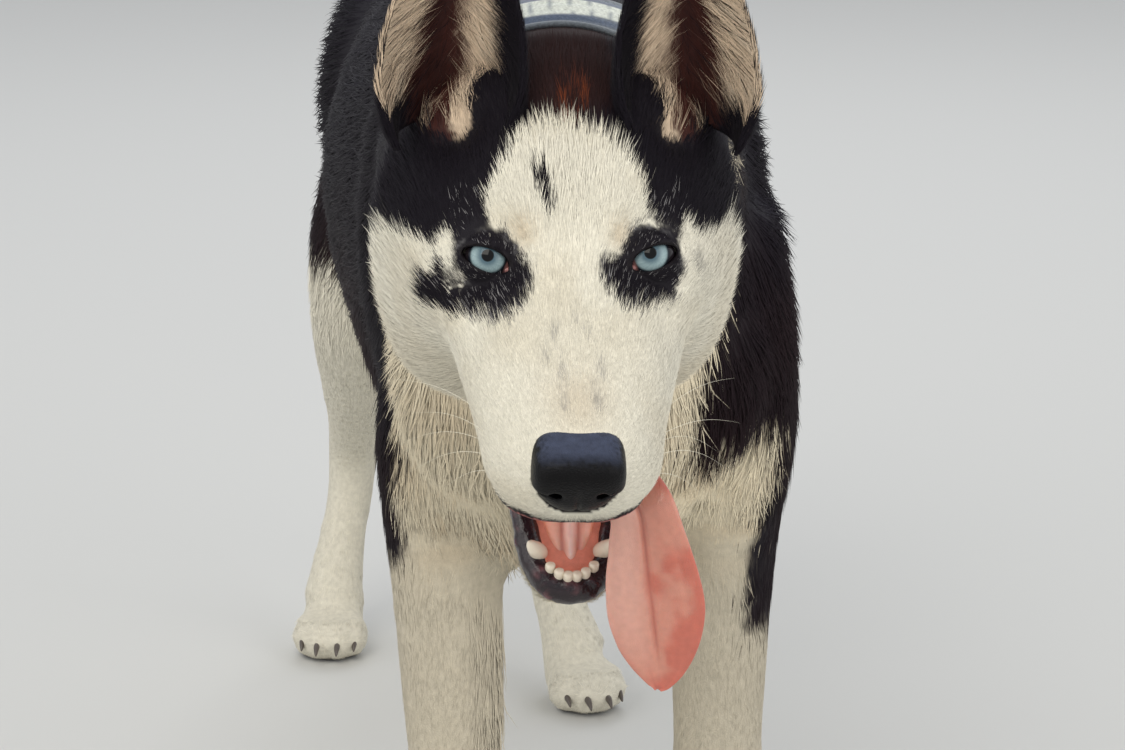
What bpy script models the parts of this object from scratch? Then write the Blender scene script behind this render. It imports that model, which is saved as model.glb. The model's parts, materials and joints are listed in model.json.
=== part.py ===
"""A young Siberian husky, standing with its head lowered and its tongue out, as a life-size still model.

Metres, +Z up. The dog looks along -Y and its left side is +X. Its feet stand on Z = 0.
The coat is part of the solids, out to its tips: long hair as flat locks, short hair as the smooth form.
"""

import math

import bmesh
import bpy
import numpy as np
from mathutils import Matrix, Vector

MM = 0.001
GAP = 0.0003

# Place of the model's origin under the middle of its box, in the modelling frame.
ORIGIN = Vector((-0.0165, 0.008, 0.0))

# The head's own frame: its origin lies midway between the eyes, forward runs along the muzzle.
EYE_MIDDLE = Vector((-0.038, -0.4685, 0.460))
HEAD_TURN = math.radians(-2.8)
HEAD_PITCH = math.radians(35.0)
HEAD_ROLL = math.radians(2.0)

# Eyes
EYE_RADIUS = 11.0 * MM

# The lower jaw turns down about the hinge behind the cheeks.
JAW_HINGE = (-58.0, -38.0)
JAW_OPEN = math.radians(21.0)

# Sizes of the working meshes
BODY_VOXEL = 6.0 * MM
HEAD_VOXEL = 2.4 * MM


def clear_scene():
    """Removes the startup objects."""
    for thing in list(bpy.data.objects):
        bpy.data.objects.remove(thing, do_unlink=True)


def collection_named(name):
    """A new collection in the scene."""
    made = bpy.data.collections.new(name)
    bpy.context.scene.collection.children.link(made)
    return made


def object_from(name, bm, collection):
    """A new object that holds the bmesh."""
    mesh = bpy.data.meshes.new(name)
    bm.to_mesh(mesh)
    bm.free()
    made = bpy.data.objects.new(name, mesh)
    collection.objects.link(made)
    return made


def head_matrix():
    """The head's frame in the model's: X to the dog's left, Y forward along the muzzle, Z up."""
    cos_t, sin_t = math.cos(HEAD_TURN), math.sin(HEAD_TURN)
    ahead = Vector((sin_t, -cos_t, 0.0))
    forward = ahead * math.cos(HEAD_PITCH) - Vector((0, 0, 1)) * math.sin(HEAD_PITCH)
    left = Vector((cos_t, sin_t, 0.0))
    up = forward.cross(left)
    if up.z < 0:
        up.negate()
    roll = Matrix.Rotation(HEAD_ROLL, 3, -forward)
    left, up = roll @ left, roll @ up
    frame = Matrix((left, forward, up)).transposed().to_4x4()
    return Matrix.Translation(EYE_MIDDLE) @ frame


def spline(rows, steps):
    """Rows of numbers made finer by a Catmull-Rom curve through them."""
    rows = np.array(rows, float)
    before = np.vstack([2 * rows[0] - rows[1], rows, 2 * rows[-1] - rows[-2]])
    made = []
    for i in range(len(rows) - 1):
        a, b, c, d = before[i : i + 4]
        for k in range(steps):
            t = k / steps
            made.append(
                0.5 * (2 * b + (c - a) * t + (2 * a - 5 * b + 4 * c - d) * t * t + (3 * b - a - 3 * c + d) * t**3)
            )
    made.append(rows[-1])
    return np.array(made)


def outward(bm):
    """Turns every face of a closed form outward."""
    bmesh.ops.recalc_face_normals(bm, faces=bm.faces)
    if bm.calc_volume(signed=True) < 0:
        bmesh.ops.reverse_faces(bm, faces=bm.faces)
    return bm


def loft(rings):
    """A closed bmesh through rings of points, each ring with the same number of points."""
    bm = bmesh.new()
    loops = []
    for ring in rings:
        verts = [bm.verts.new(p) for p in ring]
        loops.append(verts)
    count = len(loops[0])
    for first, second in zip(loops, loops[1:]):
        for i in range(count):
            j = (i + 1) % count
            bm.faces.new((first[i], first[j], second[j], second[i]))
    bm.faces.new(list(reversed(loops[0])))
    bm.faces.new(loops[-1])
    return outward(bm)


def tube(rows, side=(1.0, 0.0, 0.0), steps=4, segments=28):
    """A limb or trunk through rows of (x, y, z, half width, rise, fall).

    The half width lies along side. Rise and fall are the radii on either side of it, across the path.
    """
    rows = spline(rows, steps)
    centres = rows[:, :3]
    along = np.gradient(centres, axis=0)
    side = np.array(side, float)
    rings = []
    for centre, tangent, (half, rise, fall) in zip(centres, along, rows[:, 3:6]):
        tangent = tangent / np.linalg.norm(tangent)
        across = side - tangent * (side @ tangent)
        across /= np.linalg.norm(across)
        up = np.cross(tangent, across)
        ring = []
        for k in range(segments):
            turn = 2 * math.pi * k / segments
            height = math.sin(turn)
            reach = rise if height > 0 else fall
            ring.append(centre + across * (half * math.cos(turn)) + up * (reach * height))
        rings.append(ring)
    return loft(rings)


def ball(centre, radii, turn=(0.0, 0.0, 0.0), segments=24):
    """An ellipsoid, turned by angles in degrees."""
    bm = bmesh.new()
    bmesh.ops.create_uvsphere(bm, u_segments=segments, v_segments=segments // 2, radius=1.0)
    angles = [math.radians(a) for a in turn]
    rotation = Matrix.Rotation(angles[2], 4, "Z") @ Matrix.Rotation(angles[1], 4, "Y") @ Matrix.Rotation(angles[0], 4, "X")
    bmesh.ops.transform(bm, matrix=Matrix.Translation(centre) @ rotation @ Matrix.Diagonal((*radii, 1.0)), verts=bm.verts)
    return bm


def apply_modifiers(thing):
    """Puts the evaluated mesh in the object and drops its modifiers."""
    graph = bpy.context.evaluated_depsgraph_get()
    mesh = bpy.data.meshes.new_from_object(thing.evaluated_get(graph))
    thing.modifiers.clear()
    thing.data = mesh


def fused(name, pieces, collection, voxel, smooth, triangles=None):
    """One closed skin round overlapping pieces, softened where they meet."""
    whole = bmesh.new()
    for piece in pieces:
        mesh = bpy.data.meshes.new("piece")
        piece.to_mesh(mesh)
        piece.free()
        whole.from_mesh(mesh)
        bpy.data.meshes.remove(mesh)
    made = object_from(name, whole, collection)
    remesh = made.modifiers.new("Skin", "REMESH")
    remesh.mode = "VOXEL"
    remesh.voxel_size = voxel
    soften = made.modifiers.new("Soften", "SMOOTH")
    soften.factor = 0.5
    soften.iterations = smooth
    apply_modifiers(made)
    if triangles:
        thin(made, triangles)
    return made


def thin(thing, triangles):
    """Fewer triangles, with the most left where the form bends."""
    now = sum(len(p.vertices) - 2 for p in thing.data.polygons)
    if now > triangles:
        decimate = thing.modifiers.new("Thin", "DECIMATE")
        decimate.ratio = triangles / now
        apply_modifiers(thing)


# The trunk: y, middle z, half width, rise to the back, fall to the belly
TRUNK_X = -0.012
TRUNK = [
    (-0.324, 0.378, 0.030, 0.030, 0.044),
    (-0.306, 0.380, 0.066, 0.078, 0.100),
    (-0.268, 0.390, 0.090, 0.114, 0.146),
    (-0.215, 0.400, 0.102, 0.140, 0.170),
    (-0.155, 0.408, 0.108, 0.150, 0.178),
    (-0.080, 0.408, 0.115, 0.145, 0.170),
    (0.000, 0.408, 0.119, 0.132, 0.152),
    (0.080, 0.414, 0.113, 0.122, 0.132),
    (0.150, 0.424, 0.102, 0.112, 0.114),
    (0.210, 0.432, 0.094, 0.104, 0.104),
    (0.265, 0.436, 0.085, 0.090, 0.096),
    (0.305, 0.440, 0.066, 0.066, 0.076),
    (0.330, 0.442, 0.028, 0.026, 0.034),
]

# The neck: x, y, z, half width, rise, fall
NECK = [
    (-0.014, -0.150, 0.430, 0.094, 0.120, 0.130),
    (-0.016, -0.215, 0.442, 0.096, 0.120, 0.122),
    (-0.022, -0.275, 0.456, 0.092, 0.108, 0.104),
    (-0.028, -0.325, 0.468, 0.086, 0.092, 0.094),
    (-0.033, -0.365, 0.474, 0.080, 0.073, 0.086),
    (-0.035, -0.400, 0.476, 0.064, 0.056, 0.072),
]

# Legs: x, y, z, half width, radius in front, radius behind
FORELEG_LEFT = [
    (0.066, -0.205, 0.430, 0.032, 0.070, 0.070),
    (0.070, -0.212, 0.370, 0.038, 0.066, 0.066),
    (0.074, -0.195, 0.315, 0.038, 0.052, 0.056),
    (0.074, -0.180, 0.268, 0.034, 0.040, 0.046),
    (0.073, -0.180, 0.225, 0.0300, 0.0320, 0.035),
    (0.072, -0.184, 0.180, 0.0275, 0.0275, 0.0275),
    (0.071, -0.188, 0.145, 0.0255, 0.0245, 0.0245),
    (0.071, -0.190, 0.118, 0.0260, 0.0250, 0.0250),
    (0.072, -0.196, 0.085, 0.0235, 0.0215, 0.0235),
    (0.073, -0.206, 0.055, 0.0240, 0.0225, 0.0240),
    (0.073, -0.214, 0.035, 0.0250, 0.0220, 0.0230),
]
HINDLEG_LEFT = [
    (0.036, 0.215, 0.430, 0.045, 0.080, 0.080),
    (0.046, 0.210, 0.370, 0.047, 0.078, 0.080),
    (0.056, 0.200, 0.315, 0.042, 0.062, 0.068),
    (0.058, 0.212, 0.262, 0.034, 0.045, 0.048),
    (0.046, 0.248, 0.212, 0.0265, 0.032, 0.032),
    (0.034, 0.288, 0.170, 0.0210, 0.022, 0.026),
    (0.026, 0.310, 0.138, 0.0195, 0.0200, 0.0220),
    (0.026, 0.306, 0.110, 0.0185, 0.0180, 0.0180),
    (0.032, 0.294, 0.078, 0.0180, 0.0165, 0.0165),
    (0.040, 0.282, 0.050, 0.0205, 0.0190, 0.0200),
    (0.045, 0.274, 0.032, 0.0240, 0.0210, 0.0220),
]
HINDLEG_RIGHT = [
    (-0.062, 0.235, 0.430, 0.045, 0.080, 0.078),
    (-0.076, 0.245, 0.370, 0.047, 0.078, 0.076),
    (-0.090, 0.256, 0.318, 0.042, 0.064, 0.062),
    (-0.097, 0.284, 0.266, 0.034, 0.046, 0.046),
    (-0.097, 0.336, 0.214, 0.0265, 0.032, 0.032),
    (-0.096, 0.392, 0.170, 0.0210, 0.0225, 0.026),
    (-0.096, 0.426, 0.138, 0.0195, 0.0205, 0.0225),
    (-0.098, 0.430, 0.108, 0.0180, 0.0180, 0.0185),
    (-0.104, 0.422, 0.078, 0.0180, 0.0165, 0.0165),
    (-0.110, 0.410, 0.050, 0.0205, 0.0190, 0.0200),
    (-0.113, 0.402, 0.032, 0.0240, 0.0210, 0.0220),
]

TAIL = [
    (-0.012, 0.270, 0.470, 0.030, 0.030, 0.030),
    (-0.010, 0.322, 0.462, 0.032, 0.030, 0.034),
    (-0.004, 0.368, 0.428, 0.036, 0.034, 0.040),
    (0.006, 0.398, 0.372, 0.041, 0.038, 0.046),
    (0.014, 0.414, 0.308, 0.044, 0.040, 0.050),
    (0.020, 0.428, 0.246, 0.043, 0.038, 0.048),
    (0.026, 0.452, 0.192, 0.037, 0.033, 0.041),
    (0.030, 0.488, 0.156, 0.026, 0.024, 0.028),
    (0.032, 0.522, 0.140, 0.013, 0.012, 0.014),
]

# Paws: middle x, y, how far the toes turn out in degrees, and size
PAWS = {
    "front_left": (0.074, -0.232, 4.0, 1.06),
    "front_right": (-0.074, -0.232, -4.0, 1.06),
    "hind_left": (0.048, 0.254, 12.0, 0.98),
    "hind_right": (-0.115, 0.382, -8.0, 0.98),
}
FLOOR_CUT = 0.0016
CLAW_LENGTH = 11.0 * MM


def mirrored(rows):
    """The same rows on the dog's other side."""
    return [(-row[0], *row[1:]) for row in rows]


def trunk_pieces():
    """The chest, belly and rump with the muscles that stand out on them."""
    rows = [(TRUNK_X, y, z, half, rise, fall) for y, z, half, rise, fall in TRUNK]
    pieces = [tube(rows, side=(-1, 0, 0))]
    for s in (1, -1):
        pieces.append(ball((TRUNK_X + s * 0.062, -0.190, 0.418), (0.046, 0.078, 0.112), (12, 0, 0)))
        pieces.append(ball((TRUNK_X + s * 0.050, -0.264, 0.366), (0.046, 0.046, 0.070)))
    pieces.append(ball((0.032, 0.222, 0.415), (0.062, 0.096, 0.098), (-14, 0, 0)))
    pieces.append(ball((-0.064, 0.232, 0.415), (0.062, 0.096, 0.098), (-10, 0, 0)))
    return pieces


def paw_pieces(x, y, toe_out, scale):
    """One paw: the pad under the leg and four toes in front of it."""
    turn = math.radians(toe_out)
    ahead = Vector((math.sin(turn), -math.cos(turn), 0))
    left = Vector((math.cos(turn), math.sin(turn), 0))
    base = Vector((x, y, 0))
    heel = base + Vector((0, 0, 0.019)) - ahead * 0.014
    pieces = [ball(heel, (0.0235 * scale, 0.026 * scale, 0.0215), (0, 0, toe_out))]
    toes = [(-0.0185, 0.006, 0.0092, 10), (-0.0072, 0.017, 0.0098, 3), (0.0072, 0.017, 0.0098, -3), (0.0185, 0.006, 0.0092, -10)]
    for side, forward, radius, splay in toes:
        middle = base + left * side * scale + ahead * forward * scale
        pieces.append(ball(middle + Vector((0, 0, 0.0165)), (radius * scale, 0.021 * scale, 0.0165), (8, 0, toe_out - splay)))
    return pieces


# Head sections in millimetres: forward, half width, top, widest level, bottom, roundness above and below
HEAD_SECTIONS = [
    (-122, 20, 4, -24, -50, 2.0, 2.0),
    (-114, 48, 20, -28, -76, 2.0, 2.0),
    (-100, 68, 31, -34, -94, 2.1, 2.0),
    (-82, 80, 37, -40, -104, 2.1, 2.0),
    (-62, 84, 38, -44, -106, 2.1, 2.0),
    (-42, 80, 35, -44, -102, 2.1, 2.0),
    (-24, 71, 28, -38, -93, 2.1, 2.1),
    (-8, 61, 18, -28, -80, 2.1, 2.2),
    (8, 52, 8.5, -25, -66, 2.1, 2.3),
    (25, 46, 2.5, -27, -56, 2.1, 2.6),
    (46, 41.0, -0.5, -30, -53.5, 2.1, 3.0),
    (66, 38.0, -2.5, -34, -53.5, 2.1, 3.0),
    (84, 35.0, -5.0, -37, -53.5, 2.2, 2.8),
    (96, 30.0, -9.0, -38, -53.5, 2.2, 2.5),
    (103, 22.5, -15, -38, -52, 2.1, 2.2),
    (107, 12, -25, -38, -47, 2.0, 2.0),
]
# Lower jaw sections before it opens, the same way
JAW_SECTIONS = [
    (-62, 22, -52, -66, -84, 2.0, 2.0),
    (-50, 40, -50, -70, -92, 2.0, 2.0),
    (-20, 41, -52, -68, -94, 2.2, 2.0),
    (10, 36, -54, -66, -89, 2.5, 2.0),
    (35, 30.5, -55.5, -65, -82, 2.8, 2.0),
    (60, 26.5, -57.5, -65, -79, 3.0, 2.0),
    (80, 23.5, -57.5, -65, -77, 3.0, 2.0),
    (93, 19.5, -57.5, -64, -75, 2.8, 2.1),
    (101, 12.5, -58, -63.5, -71.5, 2.4, 2.1),
    (104, 6, -60, -63.5, -67, 2.0, 2.0),
]
# Bumps and hollows of the face in millimetres: side, forward, up, their three radii, and the height
FACE_FORMS = [
    (31, 0, 12, 16, 14, 10, -2.5),
    (22, -14, 18, 12, 12, 10, 2.5),
    (0, 2, 14, 9, 22, 12, -3.0),
    (0, -38, 38, 7, 34, 12, -1.5),
    (40, 22, -16, 12, 16, 14, -3.0),
    (58, -20, -18, 14, 22, 12, 3.0),
    (31, 80, -40, 10, 17, 12, 2.6),
    (0, 45, 0, 14, 34, 8, 1.0),
]
EYE_AXIS = Vector((0.22, 0.950, 0.22)).normalized()
EYE_CENTRE = Vector((34.0, -7.5, -3.0)) * MM
EYE_TILT = math.radians(24.0)
LID_RADIUS = EYE_RADIUS + 2.8 * MM
LID_REACH = math.radians(46.0)
LID_HALF = (12.5 * MM, 6.9 * MM)

NOSE_CENTRE = Vector((0, 97.0, -23.5)) * MM
NOSE_RADII = (19.5 * MM, 13.5 * MM, 15.0 * MM)


# The lips' rims in millimetres: side, forward, up, radius; the lower one on the closed jaw
UPPER_LIP = [(30, 28, -54, 3.4), (32, 50, -54, 3.4), (31, 72, -54, 3.4), (26, 90, -53.5, 3.4), (14, 101, -51.5, 3.2), (-2, 104, -49, 3.0)]
LOWER_LIP = [(27, 34, -59, 3.2), (24, 62, -59, 3.2), (21.5, 80, -59, 3.2), (17, 94, -59, 3.0), (9, 102.5, -59.5, 3.0), (-2, 105, -60, 3.0)]
NOSTRIL = (8.8, 107.5, -20.5)


def section_loft(sections, steps=4, segments=48):
    """A closed form through head sections, in metres in the head's frame."""
    rings = []
    for forward, half, top, level, bottom, above, below in spline(sections, steps):
        ring = []
        for k in range(segments):
            turn = 2 * math.pi * k / segments
            c, s = math.cos(turn), math.sin(turn)
            power = above if s > 0 else below
            reach = (top - level) if s > 0 else (level - bottom)
            x = half * math.copysign(abs(c) ** (2 / power), c)
            z = level + reach * math.copysign(abs(s) ** (2 / power), s)
            ring.append(Vector((x, forward, z)) * MM)
        rings.append(ring)
    return loft(rings)


def jaw_matrix():
    """Turns the lower jaw open about its hinge."""
    hinge = Vector((0, JAW_HINGE[0], JAW_HINGE[1])) * MM
    return Matrix.Translation(hinge) @ Matrix.Rotation(-JAW_OPEN, 4, "X") @ Matrix.Translation(-hinge)


def points_of(thing):
    """The object's points as an array."""
    count = len(thing.data.vertices)
    found = np.empty(count * 3)
    thing.data.vertices.foreach_get("co", found)
    return found.reshape(count, 3)


def normals_of(thing):
    """The object's point normals as an array."""
    found = np.empty(len(thing.data.vertices) * 3)
    thing.data.vertex_normals.foreach_get("vector", found)
    return found.reshape(-1, 3)


def set_points(thing, points):
    """Moves the object's points."""
    thing.data.vertices.foreach_set("co", points.ravel())
    thing.data.update()


def moved(thing, matrix):
    """Puts a turn and a shift into the mesh."""
    thing.data.transform(matrix)
    if matrix.determinant() < 0:
        thing.data.flip_normals()
    thing.data.update()
    return thing


def grown(thing, distance, collection):
    """A copy that is larger by a distance along the normals, to cut a neighbour with."""
    copy = bpy.data.objects.new(thing.name + "_grown", thing.data.copy())
    collection.objects.link(copy)
    set_points(copy, points_of(copy) + normals_of(copy) * distance)
    return copy


def combine(thing, others, operation, solver="MANIFOLD"):
    """Joins or cuts with each of the others in turn."""
    for other in others:
        step = thing.modifiers.new("Combine", "BOOLEAN")
        step.operation = operation
        step.solver = solver
        step.object = other
        apply_modifiers(thing)
    return thing


def keep_largest(thing):
    """Drops every closed surface but the largest, also one that only touches it at a corner."""
    bm = bmesh.new()
    bm.from_mesh(thing.data)
    left = set(bm.faces)
    groups = []
    while left:
        stack = [left.pop()]
        group = list(stack)
        while stack:
            for edge in stack.pop().edges:
                for other in edge.link_faces:
                    if other in left:
                        left.remove(other)
                        stack.append(other)
                        group.append(other)
        groups.append(group)
    groups.sort(key=lambda group: sum(face.calc_area() for face in group))
    for group in groups[:-1]:
        bmesh.ops.delete(bm, geom=group, context="FACES")
    bm.to_mesh(thing.data)
    bm.free()
    return thing


def box(low, high, collection, name="box"):
    """A box between two corners."""
    bm = bmesh.new()
    bmesh.ops.create_cube(bm, size=1.0)
    size = [h - l for l, h in zip(low, high)]
    middle = [(h + l) / 2 for l, h in zip(low, high)]
    bmesh.ops.transform(bm, matrix=Matrix.Translation(middle) @ Matrix.Diagonal((*size, 1.0)), verts=bm.verts)
    return object_from(name, bm, collection)


def slab(point, normal, reach, collection):
    """A big block on the far side of a plane, to cut away everything there."""
    bm = bmesh.new()
    bmesh.ops.create_cube(bm, size=2 * reach)
    turn = Vector((0, 0, 1)).rotation_difference(Vector(normal).normalized()).to_matrix().to_4x4()
    middle = Vector(point) + Vector(normal).normalized() * reach
    bmesh.ops.transform(bm, matrix=Matrix.Translation(middle) @ turn, verts=bm.verts)
    return object_from("slab", bm, collection)


def face_forms(thing):
    """Presses the bumps and hollows of the face into the head, in the head's frame."""
    points = points_of(thing)
    normals = normals_of(thing)
    for side, forward, up, rx, ry, rz, height in FACE_FORMS:
        for s in (1, -1) if side else (1,):
            away = (points / MM - (s * side, forward, up)) / (rx, ry, rz)
            points = points + normals * (height * MM * np.exp(-(away**2).sum(axis=1)))[:, None]
    set_points(thing, points)


def eye_place(s):
    """The centre and the outward direction of one eye in the head's frame."""
    return Vector((s * EYE_CENTRE.x, EYE_CENTRE.y, EYE_CENTRE.z)), Vector((s * EYE_AXIS.x, EYE_AXIS.y, EYE_AXIS.z))


def round_lids(thing):
    """Lays the skin round each eye on a sphere a lid's thickness outside the eyeball."""
    points = points_of(thing)
    for s in (1, -1):
        centre, axis = eye_place(s)
        away = points - np.array(centre)
        distance = np.linalg.norm(away, axis=1)
        turn = np.arccos(np.clip(away @ np.array(axis) / distance, -1, 1))
        share = np.clip((LID_REACH * 1.7 - turn) / (LID_REACH * 0.7), 0, 1)
        share = share * share * (3 - 2 * share) * (distance < 2.2 * EYE_RADIUS)
        wanted = distance + (LID_RADIUS - distance) * share
        points = np.array(centre) + away * (wanted / distance)[:, None]
    set_points(thing, points)


def lid_opening(s, collection):
    """The almond between the lids, as a prism along the eye's axis."""
    centre, axis = eye_place(s)
    side = Vector((s * math.cos(EYE_TILT), 0, math.sin(EYE_TILT)))
    side = (side - axis * side.dot(axis)).normalized()
    up = side.cross(axis)
    if up.z < 0:
        up.negate()
    rings = []
    for depth in (3 * MM, 30 * MM):
        ring = []
        for k in range(20):
            turn = 2 * math.pi * k / 20
            c, q = math.cos(turn), math.sin(turn)
            height = LID_HALF[1] * q * abs(q) ** 0.3 * (1 - 0.12 * c)
            ring.append(centre + axis * depth + side * (LID_HALF[0] * c) + up * height)
        rings.append(ring)
    return object_from("lids", loft(rings), collection)


# Ears: base in the head's frame, length, lean backward, turn outward
EAR_BASE = Vector((48.5, -70.0, 8.0)) * MM
EAR_LENGTH = 112.0 * MM
EAR_LEAN = math.radians(20.0)
EAR_TURN = math.radians(9.0)
# Share of the length, half width, how far the sheet curls each way in degrees, thickness
EAR_ROWS = [
    (0.00, 25, 125, 7.0),
    (0.12, 28, 112, 6.5),
    (0.25, 30.5, 94, 6.0),
    (0.40, 30, 76, 5.5),
    (0.55, 26, 62, 5.0),
    (0.70, 20, 55, 4.5),
    (0.84, 13, 50, 4.0),
    (0.94, 7.2, 45, 3.5),
    (1.00, 2.5, 40, 3.0),
]


def ear_bmesh(s):
    """One ear: a curled, pointed sheet whose cup opens forward and a little outward."""
    rings = []
    across = 9
    for share, half, curl, thick in EAR_ROWS:
        curl = math.radians(curl)
        radius = half / math.sin(min(curl, math.pi / 2))
        ring = []
        for side, radial in ((1, radius + thick / 2), (-1, radius - thick / 2)):
            for k in range(across):
                turn = side * curl * (2 * k / (across - 1) - 1)
                ring.append(Vector((radial * math.sin(turn), radius - radial * math.cos(turn), share * EAR_LENGTH / MM)) * MM)
        rings.append(ring)
    bm = loft(rings)
    flip = Matrix.Diagonal((s, 1, 1, 1))
    turn = Matrix.Rotation(-EAR_TURN, 4, "Z")
    lean = Matrix.Rotation(EAR_LEAN, 4, "X")
    place = flip @ Matrix.Translation(EAR_BASE) @ lean @ turn @ Matrix.Translation((0, -14 * MM, 0))
    bmesh.ops.transform(bm, matrix=place, verts=bm.verts)
    return outward(bm)


# The tongue in millimetres of the head's frame: side, forward, up, half width, half thickness twice
TONGUE = [
    (3, -8, -72, 14, 5.0, 5.0),
    (5, 14, -73, 16, 5.0, 5.0),
    (10, 38, -70, 17.5, 4.5, 4.5),
    (18, 62, -66, 19, 4.0, 4.0),
    (27, 78, -69, 19, 3.5, 3.5),
    (33, 86, -84, 19.5, 3.2, 3.2),
    (36, 93, -101, 20.5, 3.0, 3.0),
    (37, 100, -119, 20.5, 3.0, 3.0),
    (36.5, 106, -135, 16.5, 2.8, 2.8),
    (35.5, 109.5, -144, 9.5, 2.2, 2.2),
    (34.5, 112, -150, 2.0, 1.2, 1.2),
]

# Teeth in millimetres on the closed lower jaw: side, forward, up, radius, height
LOWER_TEETH = [
    (1.9, 98.5, -58, 1.9, 4.6),
    (5.6, 97.3, -58, 1.9, 4.6),
    (9.2, 95.0, -58, 2.0, 4.8),
    (13.6, 89.5, -58, 3.3, 11.5),
    (21.5, 52.0, -58.5, 3.4, 5.5),
]


def tooth(side, forward, up, radius, height):
    """A tapered tooth whose root is sunk in the gum."""
    rings = []
    for share, width in ((-0.9, 1.0), (0.3, 0.95), (0.75, 0.6), (1.0, 0.16)):
        ring = []
        for k in range(5):
            turn = 2 * math.pi * k / 5
            lean = 0.25 * radius * max(share, 0) ** 2
            ring.append(
                Vector(
                    (
                        side + radius * width * math.cos(turn),
                        forward - lean + radius * width * math.sin(turn),
                        up + share * height,
                    )
                )
                * MM
            )
        rings.append(ring)
    return loft(rings)


def joined(name, pieces, collection):
    """One object of several loose closed meshes."""
    whole = bmesh.new()
    for piece in pieces:
        mesh = bpy.data.meshes.new("piece")
        piece.to_mesh(mesh)
        piece.free()
        whole.from_mesh(mesh)
        bpy.data.meshes.remove(mesh)
    return object_from(name, whole, collection)


def united(thing, pieces, tools):
    """Joins a collection of closed meshes to a node in one step and drops what stays loose."""
    group = bpy.data.collections.new("joining")
    tools.children.link(group)
    made = [object_from("piece", piece, group) for piece in pieces]
    step = thing.modifiers.new("Join", "BOOLEAN")
    step.operation = "UNION"
    step.solver = "MANIFOLD"
    step.operand_type = "COLLECTION"
    step.collection = group
    apply_modifiers(thing)
    for piece in made:
        bpy.data.objects.remove(piece, do_unlink=True)
    return keep_largest(thing)


def copy_of(thing, name, collection):
    """A second object with its own copy of the mesh."""
    made = bpy.data.objects.new(name, thing.data.copy())
    collection.objects.link(made)
    return made


def make_head(dog, tools):
    """The head, the lower jaw, the tongue, the eyes, the nose and the ears, placed in the model."""
    frame = head_matrix()
    jaw_turn = jaw_matrix()
    jaw_form = section_loft(JAW_SECTIONS)
    bmesh.ops.transform(jaw_form, matrix=jaw_turn, verts=jaw_form.verts)
    pieces = [section_loft(HEAD_SECTIONS), jaw_form]
    for s in (1, -1):
        pieces.append(ball(Vector((s * 30, 10, -69)) * MM, (8 * MM, 24 * MM, 13 * MM), (-12, 0, 0)))
        for rows, turn in ((UPPER_LIP, Matrix()), (LOWER_LIP, jaw_turn)):
            lip = tube([(s * x * MM, y * MM, z * MM, r * MM, r * MM, r * MM) for x, y, z, r in rows], segments=10)
            bmesh.ops.transform(lip, matrix=turn, verts=lip.verts)
            pieces.append(lip)
    head = fused("head", pieces, dog, HEAD_VOXEL, 3)
    face_forms(head)
    round_lids(head)
    soften = head.modifiers.new("Soften", "SMOOTH")
    soften.factor = 0.5
    soften.iterations = 3
    apply_modifiers(head)
    thin(head, 1800)

    rows = [tuple(v * MM for v in row) for row in TONGUE]
    tongue = object_from("tongue", tube(rows, steps=1, segments=14), dog)
    nose = object_from("nose", ball(NOSE_CENTRE, NOSE_RADII, segments=14), dog)
    combine(head, [grown(tongue, 1.5 * GAP, tools), grown(nose, GAP, tools)], "DIFFERENCE")
    for s in (1, -1):
        x, y, z = NOSTRIL
        hole = ball(Vector((s * x, y, z)) * MM, (3.4 * MM, 6.5 * MM, 3.0 * MM), (0, 0, -s * 24), segments=8)
        slit = ball(Vector((s * (x + 5.2), y - 2.5, z - 2.0)) * MM, (4.6 * MM, 4.0 * MM, 1.3 * MM), (0, s * 20, -s * 50), segments=6)
        for cut in (hole, slit):
            combine(nose, [object_from("nostril", cut, tools)], "DIFFERENCE")
    keep_largest(nose)
    eyes = []
    for s, word in ((1, "left"), (-1, "right")):
        eye = object_from("eye_" + word, ball(eye_place(s)[0], (EYE_RADIUS,) * 3, segments=14), dog)
        combine(head, [grown(eye, GAP, tools), lid_opening(s, tools)], "DIFFERENCE")
        eyes.append(eye)

    mouth = [(-60, 38, -130), (60, 125, -51.5)]
    region = [moved(box([v * MM for v in mouth[0]], [v * MM for v in mouth[1]], tools), jaw_turn)]
    jaw = combine(copy_of(head, "lower_jaw", dog), region, "INTERSECT")
    combine(head, [grown(region[0], GAP, tools)], "DIFFERENCE")
    keep_largest(jaw)
    keep_largest(head)
    teeth = []
    for row in LOWER_TEETH:
        for s in (1, -1):
            one = tooth(s * row[0], *row[1:])
            bmesh.ops.transform(one, matrix=jaw_turn, verts=one.verts)
            teeth.append(one)
    united(jaw, teeth, tools)
    combine(jaw, [grown(tongue, 1.5 * GAP, tools)], "DIFFERENCE")
    keep_largest(jaw)

    around = grown(head, GAP, tools)
    ears = []
    for s, word in ((1, "left"), (-1, "right")):
        ear = object_from("ear_" + word, ear_bmesh(s), dog)
        combine(ear, [around], "DIFFERENCE")
        ears.append(keep_largest(ear))
    for thing in (head, jaw, tongue, nose, *eyes, *ears):
        moved(thing, frame)
    grow_locks(head, tools)
    return head


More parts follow.
